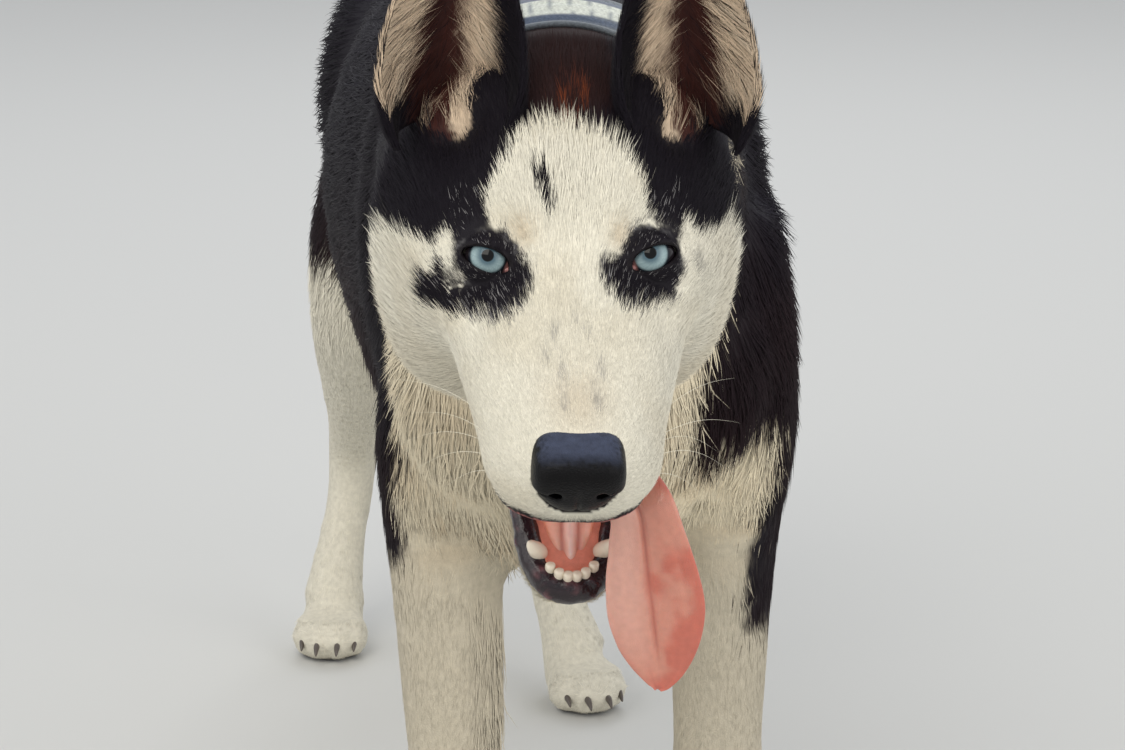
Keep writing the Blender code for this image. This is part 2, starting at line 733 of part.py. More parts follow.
# Boxes that part the legs and the tail from the trunk: low corner and high corner
REGIONS = {
    "tail": ((-0.062, 0.336, 0.060), (0.150, 0.700, 0.600)),
    "foreleg_left": ((0.036, -0.250, 0.100), (0.200, -0.125, 0.262)),
    "foreleg_right": ((-0.200, -0.250, 0.100), (-0.036, -0.125, 0.262)),
    "forepaw_left": ((0.020, -0.330, -0.100), (0.200, -0.100, 0.100)),
    "forepaw_right": ((-0.200, -0.330, -0.100), (-0.020, -0.100, 0.100)),
    "thigh_left": ((0.006, 0.125, 0.215), (0.200, 0.336, 0.306)),
    "thigh_right": ((-0.200, 0.160, 0.215), (-0.036, 0.420, 0.306)),
    "hock_left": ((-0.020, 0.150, 0.072), (0.150, 0.336, 0.215)),
    "hock_right": ((-0.200, 0.150, 0.072), (-0.050, 0.500, 0.215)),
    "hindpaw_left": ((-0.020, 0.100, -0.100), (0.150, 0.400, 0.072)),
    "hindpaw_right": ((-0.200, 0.200, -0.100), (-0.050, 0.500, 0.072)),
}
NECK_CUT = (Vector((0, -0.268, 0.495)), Vector((0, -0.69, 0.72)).normalized())

# Collar: middle of the ring, its half sizes across and up, how far it lies round the neck
COLLAR_Y = -0.347
COLLAR_WIDTH = 34.0 * MM
COLLAR_THICK = 3.0 * MM


def neck_ring(y, out):
    """Points round the neck at a given place along it, a distance outside its skin."""
    rows = spline(NECK, 12)
    x, _, z, half, rise, fall = (np.interp(y, rows[::-1, 1], rows[::-1, k]) for k in range(6))
    ring = []
    for k in range(40):
        turn = 2 * math.pi * k / 40
        height = math.sin(turn)
        reach = rise if height > 0 else fall
        ring.append(Vector((x + (half + out) * math.cos(turn), y, z + (reach + out) * height)))
    return ring


def collar_bmesh(extra):
    """The band, or a larger one to cut its bed with."""
    bm = bmesh.new()
    outlines = []
    for y, out in (
        (COLLAR_Y - COLLAR_WIDTH / 2 - extra, -extra),
        (COLLAR_Y + COLLAR_WIDTH / 2 + extra, -extra),
        (COLLAR_Y + COLLAR_WIDTH / 2 + extra, COLLAR_THICK + extra),
        (COLLAR_Y - COLLAR_WIDTH / 2 - extra, COLLAR_THICK + extra),
    ):
        outlines.append([bm.verts.new(p) for p in neck_ring(y, out)])
    count = len(outlines[0])
    for first, second in zip(outlines, outlines[1:] + outlines[:1]):
        for i in range(count):
            j = (i + 1) % count
            bm.faces.new((first[i], first[j], second[j], second[i]))
    return outward(bm)


def claw(root, ahead, scale):
    """A curved claw with its root sunk in the toe."""
    rows = []
    for share, radius in ((0.0, 2.8), (0.6, 2.0), (1.0, 0.5)):
        point = root + ahead * (CLAW_LENGTH * scale * share) - Vector((0, 0, 1)) * (CLAW_LENGTH * scale * 0.55 * share**2)
        rows.append((*point, radius * MM, radius * MM * 1.15, radius * MM * 1.15))
    left = Vector((0, 0, 1)).cross(ahead)
    return tube(rows, side=left, steps=1, segments=4)


def make_body(dog, tools, head):
    """The trunk, the neck, the tail and the legs, cut from one skin."""
    pieces = trunk_pieces() + [tube(NECK, side=(-1, 0, 0)), tube(TAIL)]
    for rows in (FORELEG_LEFT, mirrored(FORELEG_LEFT), HINDLEG_LEFT, HINDLEG_RIGHT):
        pieces.append(tube(rows))
    for place in PAWS.values():
        pieces += paw_pieces(*place)
    body = fused("body", pieces, tools, BODY_VOXEL, 5)
    thin(body, 3200)
    combine(body, [slab((0, 0, FLOOR_CUT), (0, 0, -1), 2.0, tools)], "DIFFERENCE")

    regions = {}
    for name, (low, high) in REGIONS.items():
        regions[name] = box([v + GAP / 2 for v in low], [v - GAP / 2 for v in high], tools, name + "_region")
    made = {}
    for name, region in regions.items():
        node = keep_largest(combine(copy_of(body, name, dog), [region], "INTERSECT"))
        if name in LOCKS:
            keep_largest(combine(grow_locks(node, tools), [region], "INTERSECT"))
        made[name] = node
    collar = object_from("collar", collar_bmesh(0.0), dog)
    bed = object_from("collar_bed", collar_bmesh(2 * GAP), tools)
    keep_largest(combine(head, [bed], "DIFFERENCE"))
    around = grown(head, 3 * GAP, tools)
    point, normal = NECK_CUT
    neck = copy_of(body, "neck", dog)
    combine(neck, [slab(point + normal * GAP / 2, -normal, 1.0, tools)], "DIFFERENCE")
    grow_locks(neck, tools)
    combine(neck, [slab(point + normal * GAP / 2, -normal, 1.0, tools), around, bed], "DIFFERENCE")
    torso = copy_of(body, "torso", dog)
    wider = [box([v - GAP / 2 for v in low], [v + GAP / 2 for v in high], tools) for low, high in REGIONS.values()]
    near = slab(point - normal * GAP / 2, normal, 1.0, tools)
    combine(torso, [near, *wider], "DIFFERENCE")
    grow_locks(torso, tools)
    combine(torso, [near, *wider, around, bed], "DIFFERENCE")
    for thing in (neck, torso):
        keep_largest(thing)

    for name, (x, y, toe_out, scale) in PAWS.items():
        front, side = name.split("_")
        turn = math.radians(toe_out)
        ahead = Vector((math.sin(turn), -math.cos(turn), 0))
        left = Vector((math.cos(turn), math.sin(turn), 0))
        claws = []
        for across, forward in ((-0.0185, 0.022), (-0.0072, 0.033), (0.0072, 0.033), (0.0185, 0.022)):
            root = Vector((x, y, 0.0165)) + left * across * scale + ahead * forward * scale
            claws.append(claw(root, ahead, scale))
        united(made[front.replace("front", "fore") + "paw_" + side if front == "front" else "hindpaw_" + side], claws, tools)
    return made, torso, neck, collar


# Locks of long hair by node: how many, length, half width, lift off the skin in degrees
LOCKS = {
    "head": (22, 0.042, 0.0110, 16.0),
    "neck": (32, 0.054, 0.0150, 14.0),
    "torso": (42, 0.064, 0.0180, 13.0),
    "tail": (30, 0.064, 0.0150, 16.0),
    "thigh_left": (6, 0.046, 0.0120, 14.0),
    "thigh_right": (6, 0.046, 0.0120, 14.0),
}
LOCK_SEED = 7
LOCK_TRIES = 2500
LOCK_ROOT = 0.008
LOCK_FLAT = 0.34


def lock(root, path, across, half):
    """One flat, curved, tapered lock along a path of points."""
    rings = []
    widths = (0.72, 1.0, 0.72)
    for point, step, width in zip(path, path[1:], widths):
        along = (step - point).normalized()
        side = (across - along * across.dot(along)).normalized()
        up = along.cross(side)
        wide, deep = side * (half * width), up * (half * width * LOCK_FLAT)
        rings.append([point + wide, point + deep, point - wide, point - deep])
    bm = bmesh.new()
    loops = [[bm.verts.new(p) for p in ring] for ring in rings]
    tip = bm.verts.new(path[3])
    for first, second in zip(loops, loops[1:]):
        for i in range(4):
            j = (i + 1) % 4
            bm.faces.new((first[i], first[j], second[j], second[i]))
    for i in range(4):
        bm.faces.new((loops[-1][i], loops[-1][(i + 1) % 4], tip))
    bm.faces.new(loops[0])
    return outward(bm)


def coat_lie(node, point):
    """The way the hair lies at a place on a node, before it is laid along the skin; None where no lock grows."""
    x, y, z = point.x - TRUNK_X, point.y, point.z
    if node == "head":
        local = head_matrix().inverted() @ point / MM
        if local.y > -38 or local.z > -22 or abs(local.x) < 40:
            return None
        return Vector((0.55 * math.copysign(1, x), 0.30, -0.75))
    if node == "neck":
        return Vector((0.25 * math.copysign(1, x), 0.75, -0.60))
    if node == "torso":
        if y < -0.235 and z < 0.46:
            return Vector((0.10 * math.copysign(1, x), 0.12, -1.0))
        if y < -0.12 and z > 0.42:
            return Vector((0.20 * math.copysign(1, x), 0.90, -0.45))
        if z < 0.285 and -0.22 < y < 0.14 and abs(x) < 0.07:
            return Vector((0.0, 0.85, -0.45))
        if y > 0.24 and 0.30 < z < 0.43:
            return Vector((0.0, 0.45, -0.90))
        return None
    if node == "tail":
        rows = np.array(TAIL)[:, :3]
        near = int(np.argmin(np.linalg.norm(rows - np.array(point), axis=1)))
        low, high = max(near - 1, 0), min(near + 1, len(rows) - 1)
        return None if near < 2 else Vector(rows[high] - rows[low])
    return Vector((0.0, 0.45, -0.90)) if y > 0.245 else None


def grow_locks(thing, tools):
    """Joins seeded locks to a node, spaced over the places where its coat is long."""
    count, length, half, lift = LOCKS[thing.name]
    rng = np.random.default_rng(LOCK_SEED)
    mesh = thing.data
    mesh.calc_loop_triangles()
    corners = points_of(thing)[np.array([t.vertices[:] for t in mesh.loop_triangles])]
    facing = np.cross(corners[:, 1] - corners[:, 0], corners[:, 2] - corners[:, 0])
    area = np.linalg.norm(facing, axis=1)
    facing /= area[:, None] + 1e-12
    chosen = rng.choice(len(area), size=LOCK_TRIES, p=area / area.sum())
    mix = rng.dirichlet((1.0, 1.0, 1.0), size=LOCK_TRIES)
    places = (corners[chosen] * mix[:, :, None]).sum(axis=1)
    lies = [coat_lie(thing.name, Vector(place)) for place in places]
    open_to = [i for i, lie in enumerate(lies) if lie is not None]
    order = [open_to[0]]
    nearest = np.full(len(open_to), np.inf)
    while len(order) < count:
        step = places[open_to] - places[order[-1]]
        nearest = np.minimum(nearest, (step**2).sum(axis=1))
        order.append(open_to[int(np.argmax(nearest))])
    order.sort(key=lambda i: places[i][2])
    made = []
    for index in order:
        spot, normal, lie = places[index], Vector(facing[chosen[index]]), lies[index]
        flat = (lie - normal * lie.dot(normal)).normalized()
        size = length * rng.uniform(0.8, 1.15)
        rise = math.radians(lift * rng.uniform(0.7, 1.25))
        start = flat * math.cos(rise) + normal * math.sin(rise)
        root = Vector(spot) - normal * LOCK_ROOT - flat * LOCK_ROOT
        path = [root, root + start * (size * 0.42), root + start * (size * 0.72) - normal * (size * 0.02)]
        path.append(path[-1] + (flat * 0.96 - normal * 0.10) * (size * 0.34))
        sway = rng.uniform(-0.25, 0.25)
        across = (flat.cross(normal) + normal * sway).normalized()
        made.append(lock(root, path, across, half * rng.uniform(0.85, 1.15)))
    return united(thing, made, tools)


def finish(name, colour, roughness):
    """A plain finish with its own name."""
    material = bpy.data.materials.new(name)
    material.use_nodes = True
    shader = material.node_tree.nodes["Principled BSDF"]
    shader.inputs["Base Color"].default_value = (*colour, 1.0)
    shader.inputs["Roughness"].default_value = roughness
    material.diffuse_color = (*colour, 1.0)
    return material


FINISHES = {
    "coat_white": ((0.62, 0.58, 0.48), 0.85),
    "coat_black": ((0.030, 0.024, 0.030), 0.75),
    "eye_blue": ((0.28, 0.40, 0.48), 0.15),
    "nose_black": ((0.020, 0.018, 0.022), 0.40),
    "tongue_pink": ((0.58, 0.24, 0.18), 0.45),
    "collar_blue": ((0.08, 0.11, 0.17), 0.80),
}
FINISH_OF = {
    "torso": "coat_black",
    "neck": "coat_black",
    "tail": "coat_black",
    "head": "coat_white",
    "lower_jaw": "coat_white",
    "ear": "coat_black",
    "eye": "eye_blue",
    "nose": "nose_black",
    "tongue": "tongue_pink",
    "collar": "collar_blue",
}


def dress(dog):
    """Gives every node a finish of its own."""
    for thing in dog.objects:
        key = next((k for k in FINISH_OF if thing.name.startswith(k)), None)
        base = FINISH_OF[key] if key else "coat_white"
        thing.data.materials.clear()
        thing.data.materials.append(finish(f"{base}_{thing.name}", *FINISHES[base]))


def main():
    """Builds the dog and sets it on the floor."""
    clear_scene()
    dog = collection_named("siberian_husky")
    tools = collection_named("cutters")
    tools.hide_render = True
    head = make_head(dog, tools)
    make_body(dog, tools, head)
    for thing in list(tools.all_objects):
        bpy.data.objects.remove(thing, do_unlink=True)
    down = Matrix.Translation((-ORIGIN.x, -ORIGIN.y, -FLOOR_CUT))
    for thing in dog.objects:
        moved(thing, down)
    dress(dog)


main()
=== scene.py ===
"""A young Siberian husky, life size, standing with its head lowered and its tongue out.

Metres, +Z up. The dog looks along -Y and its left side is +X. Forms are worked out in the
modelling frame and set down by PLACE. The coat is tufts of solid mesh over one skin.
"""

from __future__ import annotations

import json
import logging
import math
from dataclasses import dataclass
from enum import Enum
from typing import Sequence

import bmesh
import bpy
import numpy as np
from mathutils import Matrix, Vector

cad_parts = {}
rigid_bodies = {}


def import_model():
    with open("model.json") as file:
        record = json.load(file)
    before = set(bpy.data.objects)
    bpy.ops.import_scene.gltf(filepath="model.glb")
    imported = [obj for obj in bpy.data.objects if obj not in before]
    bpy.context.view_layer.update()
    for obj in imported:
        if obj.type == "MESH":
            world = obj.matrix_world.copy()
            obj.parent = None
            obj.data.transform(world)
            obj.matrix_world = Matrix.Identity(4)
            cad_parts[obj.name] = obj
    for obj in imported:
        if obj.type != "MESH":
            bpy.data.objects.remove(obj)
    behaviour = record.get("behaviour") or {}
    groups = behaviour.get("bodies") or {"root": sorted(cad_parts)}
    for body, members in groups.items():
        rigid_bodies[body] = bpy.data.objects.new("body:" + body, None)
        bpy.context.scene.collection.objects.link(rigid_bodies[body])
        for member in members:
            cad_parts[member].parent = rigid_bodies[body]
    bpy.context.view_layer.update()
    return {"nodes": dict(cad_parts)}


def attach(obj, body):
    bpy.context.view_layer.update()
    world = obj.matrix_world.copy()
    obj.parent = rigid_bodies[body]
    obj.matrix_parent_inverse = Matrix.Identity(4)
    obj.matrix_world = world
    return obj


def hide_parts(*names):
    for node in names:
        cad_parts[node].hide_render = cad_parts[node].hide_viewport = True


for startup in list(bpy.data.objects):
    bpy.data.objects.remove(startup, do_unlink=True)
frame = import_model()

log = logging.getLogger("husky")
Rows = Sequence[Sequence[float]]
Array = np.ndarray
Form = bmesh.types.BMesh
Thing = bpy.types.Object
Triple = tuple[float, float, float]
Shade = tuple[int, int, int]

MM = 0.001
PLACE = Vector((0.0165, -0.008, -0.0016))
TRUNK_X = -0.012
COLLAR_Y = -0.355
FLOOR_LEVEL = 0.0016


def shade(red: float, green: float, blue: float) -> Array:
    """A colour of 0 to 255 as the light values that a shader takes."""
    value = np.array((red, green, blue)) / 255.0
    return np.where(value <= 0.04045, value / 12.92, ((value + 0.055) / 1.055) ** 2.4)


class Tone(Enum):
    """The colours of the dog."""

    WHITE = (232, 227, 210)
    CREAM = (214, 203, 178)
    LEG = (198, 189, 169)
    WARM = (190, 165, 130)
    BLACK = (22, 18, 25)
    # Slate: a painted sky reflection on black fur that faces up, and a grey line on the face
    SLATE = (46, 46, 60)
    BROWN = (42, 23, 22)
    RUST = (128, 62, 30)
    GREY = (128, 126, 126)
    EAR_CREAM = (222, 199, 172)
    EAR_BROWN = (66, 34, 29)
    LIP = (20, 15, 19)
    MOUTH = (224, 140, 120)
    GUM = (232, 146, 120)
    PALATE = (150, 96, 92)
    PAD = (44, 40, 42)

    @property
    def light(self) -> Array:
        """The colour as light values."""
        return shade(*self.value)


class Noise:
    """Smooth seeded noise through space."""

    cells: int = 32
    shift: float = 7.3

    def __init__(self, seed: int) -> None:
        """Fills the lattice.

        Args:
            seed: the seed of the lattice.
        """
        self.lattice = np.random.default_rng(seed).random((self.cells,) * 3) * 2 - 1

    def at(self, points: Array, size: float) -> Array:
        """The noise at points.

        Args:
            points: places, one a row.
            size: the size of one bump, in metres.

        Returns:
            Values of about -1 to 1.
        """
        place = points / size + self.shift
        low = np.floor(place).astype(int)
        part = place - low
        part = part * part * (3 - 2 * part)
        total = np.zeros(len(points))
        for corner in np.ndindex(2, 2, 2):
            near = np.abs(1 - np.array(corner) - part)
            x, y, z = ((low + corner) % self.cells).T
            total += near[:, 0] * near[:, 1] * near[:, 2] * self.lattice[x, y, z]
        return total


def step_up(value: Array, low: float, high: float) -> Array:
    """A smooth step from 0 at low to 1 at high."""
    t = np.clip((value - low) / (high - low), 0, 1)
    return t * t * (3 - 2 * t)


def hump(*terms: tuple[Array, float, float]) -> Array:
    """A smooth hump of 1 where each value is at its middle, given as value, middle and width."""
    return np.exp(-sum(((value - middle) / width) ** 2 for value, middle, width in terms))


def read_off(value: Array, rows: Rows) -> Array:
    """Reads values off a table of pairs, with straight lines between them."""
    return np.interp(value, *zip(*rows))


def blend(colour: Array, other: Array, share: Array) -> Array:
    """Lays another colour over these by a share at each place."""
    return colour + (other - colour) * share[:, None]


def all_over(light: Array, places: Array) -> Array:
    """One colour for every place."""
    return np.tile(light, (len(places), 1))


def unit(vectors: Array) -> Array:
    """Vectors of length 1."""
    return vectors / (np.linalg.norm(vectors, axis=1)[:, None] + 1e-12)


def turned(vectors: Array, matrix: Matrix) -> Array:
    """Directions put through a matrix."""
    return vectors @ np.array(matrix)[:3, :3].T


def carried(points: Array, matrix: Matrix) -> Array:
    """Points put through a matrix."""
    return turned(points, matrix) + np.array(matrix)[:3, 3]


def nearest_row(points: Array, rows: Array) -> tuple[Array, Array]:
    """The nearest of some places.

    Args:
        points: places to start from.
        rows: the places to look among.

    Returns:
        The index of the nearest one and the distance to it.
    """
    best = np.full(len(points), np.inf)
    index = np.zeros(len(points), int)
    for k, row in enumerate(rows):
        distance = ((points - row) ** 2).sum(axis=1)
        closer = distance < best
        best[closer], index[closer] = distance[closer], k
    return index, np.sqrt(best)


def outward(form: Form) -> Form:
    """Turns every face of a closed form outward.

    Args:
        form: the form.

    Returns:
        The same form.
    """
    bmesh.ops.recalc_face_normals(form, faces=form.faces)
    if form.calc_volume(signed=True) < 0:
        bmesh.ops.reverse_faces(form, faces=form.faces)
    return form


def through_rings(rings: Sequence[Sequence[Vector]]) -> Form:
    """A closed form through rings of points.

    Args:
        rings: the rings in order, each with the same number of points.

    Returns:
        The form, with its ends filled.
    """
    count = len(rings[0])
    form = bmesh.new()
    bmesh.ops.create_grid(form, x_segments=count, y_segments=len(rings) - 1, size=1.0)
    form.verts.ensure_lookup_table()
    for row, ring in enumerate(rings):
        for k in range(count + 1):
            form.verts[row * (count + 1) + k].co = ring[k % count]
    bmesh.ops.remove_doubles(form, verts=form.verts, dist=1e-7)
    bmesh.ops.holes_fill(form, edges=[e for e in form.edges if e.is_boundary], sides=0)
    return outward(form)


def spline(rows: Rows, steps: int) -> Array:
    """Rows of numbers made finer by a smooth curve through them.

    Args:
        rows: the rows to pass through.
        steps: how many rows take the place of one.

    Returns:
        The finer rows.
    """
    table = np.array(rows, float)
    full = np.vstack([2 * table[0] - table[1], table, 2 * table[-1] - table[-2]])
    made = []
    for i in range(len(table) - 1):
        a, b, c, d = full[i : i + 4]
        for k in range(steps):
            t = k / steps
            square = 2 * a - 5 * b + 4 * c - d
            made.append(0.5 * (2 * b + (c - a) * t + square * t * t + (3 * b - a - 3 * c + d) * t**3))
    made.append(table[-1])
    return np.array(made)


def limb(rows: Rows, side: Sequence[float] = (1, 0, 0), steps: int = 4, around: int = 28) -> Form:
    """A limb or trunk through rows of x, y, z, half width, rise and fall.

    Args:
        rows: the sections.
        side: the direction of the half width.
        steps: how many rings take the place of one section.
        around: how many points a ring has.

    Returns:
        The closed form.
    """
    finer = spline(rows, steps)
    along = np.gradient(finer[:, :3], axis=0)
    sideways = np.array(side, float)
    rings = []
    for centre, tangent, (half, rise, fall) in zip(finer[:, :3], along, finer[:, 3:6]):
        tangent = tangent / np.linalg.norm(tangent)
        across = sideways - tangent * (sideways @ tangent)
        across /= np.linalg.norm(across)
        up = np.cross(tangent, across)
        turns = np.arange(around) * 2 * math.pi / around
        height = np.sin(turns)
        reach = np.where(height > 0, rise, fall) * height
        rings.append(centre + np.outer(half * np.cos(turns), across) + np.outer(reach, up))
    return through_rings(rings)


def round_limb(rows: Rows, **options: object) -> Form:
    """A limb with round sections, through rows of x, y, z and radius in millimetres."""
    return limb([[v * MM for v in (*row[:3], row[3], row[3], row[3])] for row in rows], **options)


def mirrored(rows: Rows, s: int) -> Rows:
    """Rows for the dog's left where s is 1, and for its right where it is -1."""
    return [(s * x, *rest) for x, *rest in rows]


def ball(
    centre: Sequence[float], radii: Sequence[float], turn: Sequence[float] = (0, 0, 0), fine: int = 24
) -> Form:
    """An ellipsoid.

    Args:
        centre: its middle.
        radii: its three radii.
        turn: angles about X, Y and Z in degrees.
        fine: how many points it has around.

    Returns:
        The closed form.
    """
    form = bmesh.new()
    bmesh.ops.create_uvsphere(form, u_segments=fine, v_segments=fine // 2, radius=1.0)
    x, y, z = (math.radians(a) for a in turn)
    rotation = Matrix.Rotation(z, 4, "Z") @ Matrix.Rotation(y, 4, "Y") @ Matrix.Rotation(x, 4, "X")
    place = Matrix.Translation(centre) @ rotation @ Matrix.Diagonal((*radii, 1.0))
    bmesh.ops.transform(form, matrix=place, verts=form.verts)
    return form


def object_of(name: str, *forms: Form) -> Thing:
    """One object of one or more forms.

    Args:
        name: the object's name.
        forms: the forms, which are used up.

    Returns:
        The object, in the scene.
    """
    whole = bmesh.new()
    for form in forms:
        mesh = bpy.data.meshes.new("form")
        form.to_mesh(mesh)
        form.free()
        whole.from_mesh(mesh)
        bpy.data.meshes.remove(mesh)
    mesh = bpy.data.meshes.new(name)
    whole.to_mesh(mesh)
    whole.free()
    made = bpy.data.objects.new(name, mesh)
    bpy.context.scene.collection.objects.link(made)
    return made


def apply_modifiers(thing: Thing) -> Thing:
    """Puts the modified mesh in the object."""
    graph = bpy.context.evaluated_depsgraph_get()
    mesh = bpy.data.meshes.new_from_object(thing.evaluated_get(graph))
    thing.modifiers.clear()
    thing.data = mesh
    return thing


def soften(thing: Thing, times: int) -> Thing:
    """Smooths the object's mesh a number of times.

    Args:
        thing: the object.
        times: how often.

    Returns:
        The same object.
    """
    step = thing.modifiers.new("Soften", "SMOOTH")
    step.factor = 0.5
    step.iterations = times
    return apply_modifiers(thing)


def fuse(thing: Thing, voxel: float, times: int) -> Thing:
    """Makes one closed surface of overlapping forms.

    Args:
        thing: the object that holds them.
        voxel: the size of the new faces.
        times: how often the result is smoothed.

    Returns:
        The same object.
    """
    step = thing.modifiers.new("Surface", "REMESH")
    step.mode = "VOXEL"
    step.voxel_size = voxel
    apply_modifiers(thing)
    return soften(thing, times)


def combine(thing: Thing, other: Thing, operation: str) -> Thing:
    """Joins the other object to this one, or cuts it away, and removes it.

    Args:
        thing: the object that stays.
        other: the object that goes.
        operation: UNION or DIFFERENCE.

    Returns:
        The first object.
    """
    step = thing.modifiers.new("Combine", "BOOLEAN")
    step.operation = operation
    step.solver = "MANIFOLD"
    step.object = other
    apply_modifiers(thing)
    bpy.data.objects.remove(other, do_unlink=True)
    return thing


def gather(items: Sequence, name: str, kind: type = int, width: int = 1) -> Array:
    """Reads one property of many parts of a mesh.

    Args:
        items: the parts, such as its faces.
        name: the property.
        kind: the type of its numbers.
        width: how many numbers it has for each part.

    Returns:
        The numbers, one row for each part where it has more than one.
    """
    found = np.empty(len(items) * width, kind)
    items.foreach_get(name, found)
    return found if width == 1 else found.reshape(-1, width)


def points_of(thing: Thing) -> Array:
    """The object's points."""
    return gather(thing.data.vertices, "co", float, 3)


def normals_of(thing: Thing) -> Array:
    """The object's normals at its points."""
    return gather(thing.data.vertex_normals, "vector", float, 3)


def set_points(thing: Thing, points: Array) -> None:
    """Moves the object's points."""
    thing.data.vertices.foreach_set("co", points.ravel())
    thing.data.update()


def moved(thing: Thing, matrix: Matrix) -> Thing:
    """Puts a turn, a shift or a mirroring into the mesh.

    Args:
        thing: the object.
        matrix: what moves it.

    Returns:
        The same object.
    """
    thing.data.transform(matrix)
    if matrix.determinant() < 0:
        thing.data.flip_normals()
    thing.data.update()
    return thing


def tint(thing: Thing, colours: Array) -> None:
    """Stores a colour at each point of the mesh, or one colour at all of them.

    Args:
        thing: the object.
        colours: light values, one row for each point, or a single one.
    """
    layer = thing.data.color_attributes.new("tint", "FLOAT_COLOR", "POINT")
    full = np.ones((len(thing.data.vertices), 4), np.float32)
    full[:, :3] = colours
    layer.data.foreach_set("color", full.ravel())


def seat(thing: Thing, finish: "Finish", slot: str | None, *nodes: str) -> Thing:
    """Sets a finished piece on the dog.

    Args:
        thing: the piece, in the modelling frame.
        finish: what it is made of.
        slot: the material slot that it follows, if any; not used.
        nodes: the solids that it takes the place of.

    Returns:
        The same object.
    """
    moved(thing, Matrix.Translation(PLACE))
    thing.data.materials.clear()
    thing.data.materials.append(finish.material())
    thing.data.polygons.foreach_set("use_smooth", np.ones(len(thing.data.polygons), bool))
    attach(thing, "root")
    if nodes:
        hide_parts(*nodes)
    log.info("%s: %d faces", thing.name, len(thing.data.polygons))
    return thing


@dataclass(frozen=True)
class Finish:
    """A surface whose colour is stored at its points, broken up by fine noise and a bump."""

    name: str
    roughness: float = 0.6
    specular: float = 0.4
    coat: float = 0.0
    sheen: float = 0.0
    mottle: float = 0.12
    mottle_scale: float = 300.0
    bump: float = 0.0
    bump_scale: float = 900.0
    subsurface: float = 0.0
    coat_roughness: float = 0.04
    sheen_roughness: float = 0.5
    subsurface_scale: float = 0.004
    bump_depth: float = 0.0006

    def material(self) -> bpy.types.Material:
        """Makes the material, or finds it if it is made.

        Returns:
            The material.
        """
        found = bpy.data.materials.get(self.name)
        if found:
            return found
        made = bpy.data.materials.new(self.name)
        made.use_nodes = True
        nodes, links = made.node_tree.nodes, made.node_tree.links

        def node(kind: str, **values: float) -> bpy.types.Node:
            """A node of a kind, found or new, with some of its inputs set."""
            added = nodes.get(kind) or nodes.new(kind)
            for socket, value in values.items():
                added.inputs[socket.replace("_", " ")].default_value = value
            return added

        shader = node(
            "Principled BSDF",
            Roughness=self.roughness,
            Specular_IOR_Level=self.specular,
            Coat_Weight=self.coat,
            Coat_Roughness=self.coat_roughness,
            Sheen_Weight=self.sheen,
            Sheen_Roughness=self.sheen_roughness,
            Subsurface_Weight=self.subsurface,
            Subsurface_Scale=self.subsurface_scale,
        )
        stored = node("ShaderNodeAttribute")
        stored.attribute_name = "tint"
        where = node("ShaderNodeTexCoord").outputs["Object"]
        grain = node("ShaderNodeTexNoise", Scale=self.mottle_scale, Detail=3.0)
        links.new(where, grain.inputs["Vector"])
        low, high = 1.0 - self.mottle, 1.0 + self.mottle
        level = node("ShaderNodeMapRange", From_Min=0.25, From_Max=0.75, To_Min=low, To_Max=high)
        links.new(grain.outputs["Fac"], level.inputs["Value"])
        scale = node("ShaderNodeVectorMath")
        scale.operation = "SCALE"
        links.new(stored.outputs["Color"], scale.inputs[0])
        links.new(level.outputs["Result"], scale.inputs["Scale"])
        links.new(scale.outputs["Vector"], shader.inputs["Base Color"])
        if self.bump:
            relief = node("ShaderNodeTexNoise", Scale=self.bump_scale, Detail=2.0)
            links.new(where, relief.inputs["Vector"])
            bump = node("ShaderNodeBump", Strength=self.bump, Distance=self.bump_depth)
            links.new(relief.outputs["Fac"], bump.inputs["Height"])
            links.new(bump.outputs["Normal"], shader.inputs["Normal"])
        return made


SKIN = Finish("husky_skin", roughness=0.7, specular=0.2, bump=0.5, bump_scale=1400.0)
HAIR = Finish("husky_hair", roughness=0.65, specular=0.10, sheen=0.02, mottle=0.08, mottle_scale=700.0)
EYE = Finish("husky_eye", roughness=0.1, specular=0.1, coat=0.35, mottle=0.03, mottle_scale=1500.0)
LIP_WET = Finish(
    "lip_wet", roughness=0.24, specular=0.35, coat=0.25, mottle=0.3, mottle_scale=420.0, bump=0.7,
    bump_scale=700.0,
)
NOSE_LEATHER = Finish(
    "nose_leather", roughness=0.4, specular=0.12, coat=0.04, mottle=0.2, bump=0.8, bump_scale=1500.0
)
TONGUE_WET = Finish(
    "tongue_wet", roughness=0.36, specular=0.5, coat=0.35, mottle=0.06, bump=0.35, bump_scale=2200.0,
    subsurface=0.25,
)
TOOTH_ENAMEL = Finish("tooth_enamel", roughness=0.22, specular=0.5, coat=0.4, mottle=0.04)
CLAW_HORN = Finish("claw_horn", roughness=0.35, specular=0.5, mottle=0.15, mottle_scale=900.0)
WEB = Finish(
    "collar_web", roughness=0.8, specular=0.2, sheen=0.3, mottle=0.25, mottle_scale=900.0, bump=0.6,
    bump_scale=1300.0,
)
BUCKLE_STEEL = Finish("buckle_steel", roughness=0.3, specular=0.5, coat=0.2, mottle=0.05)


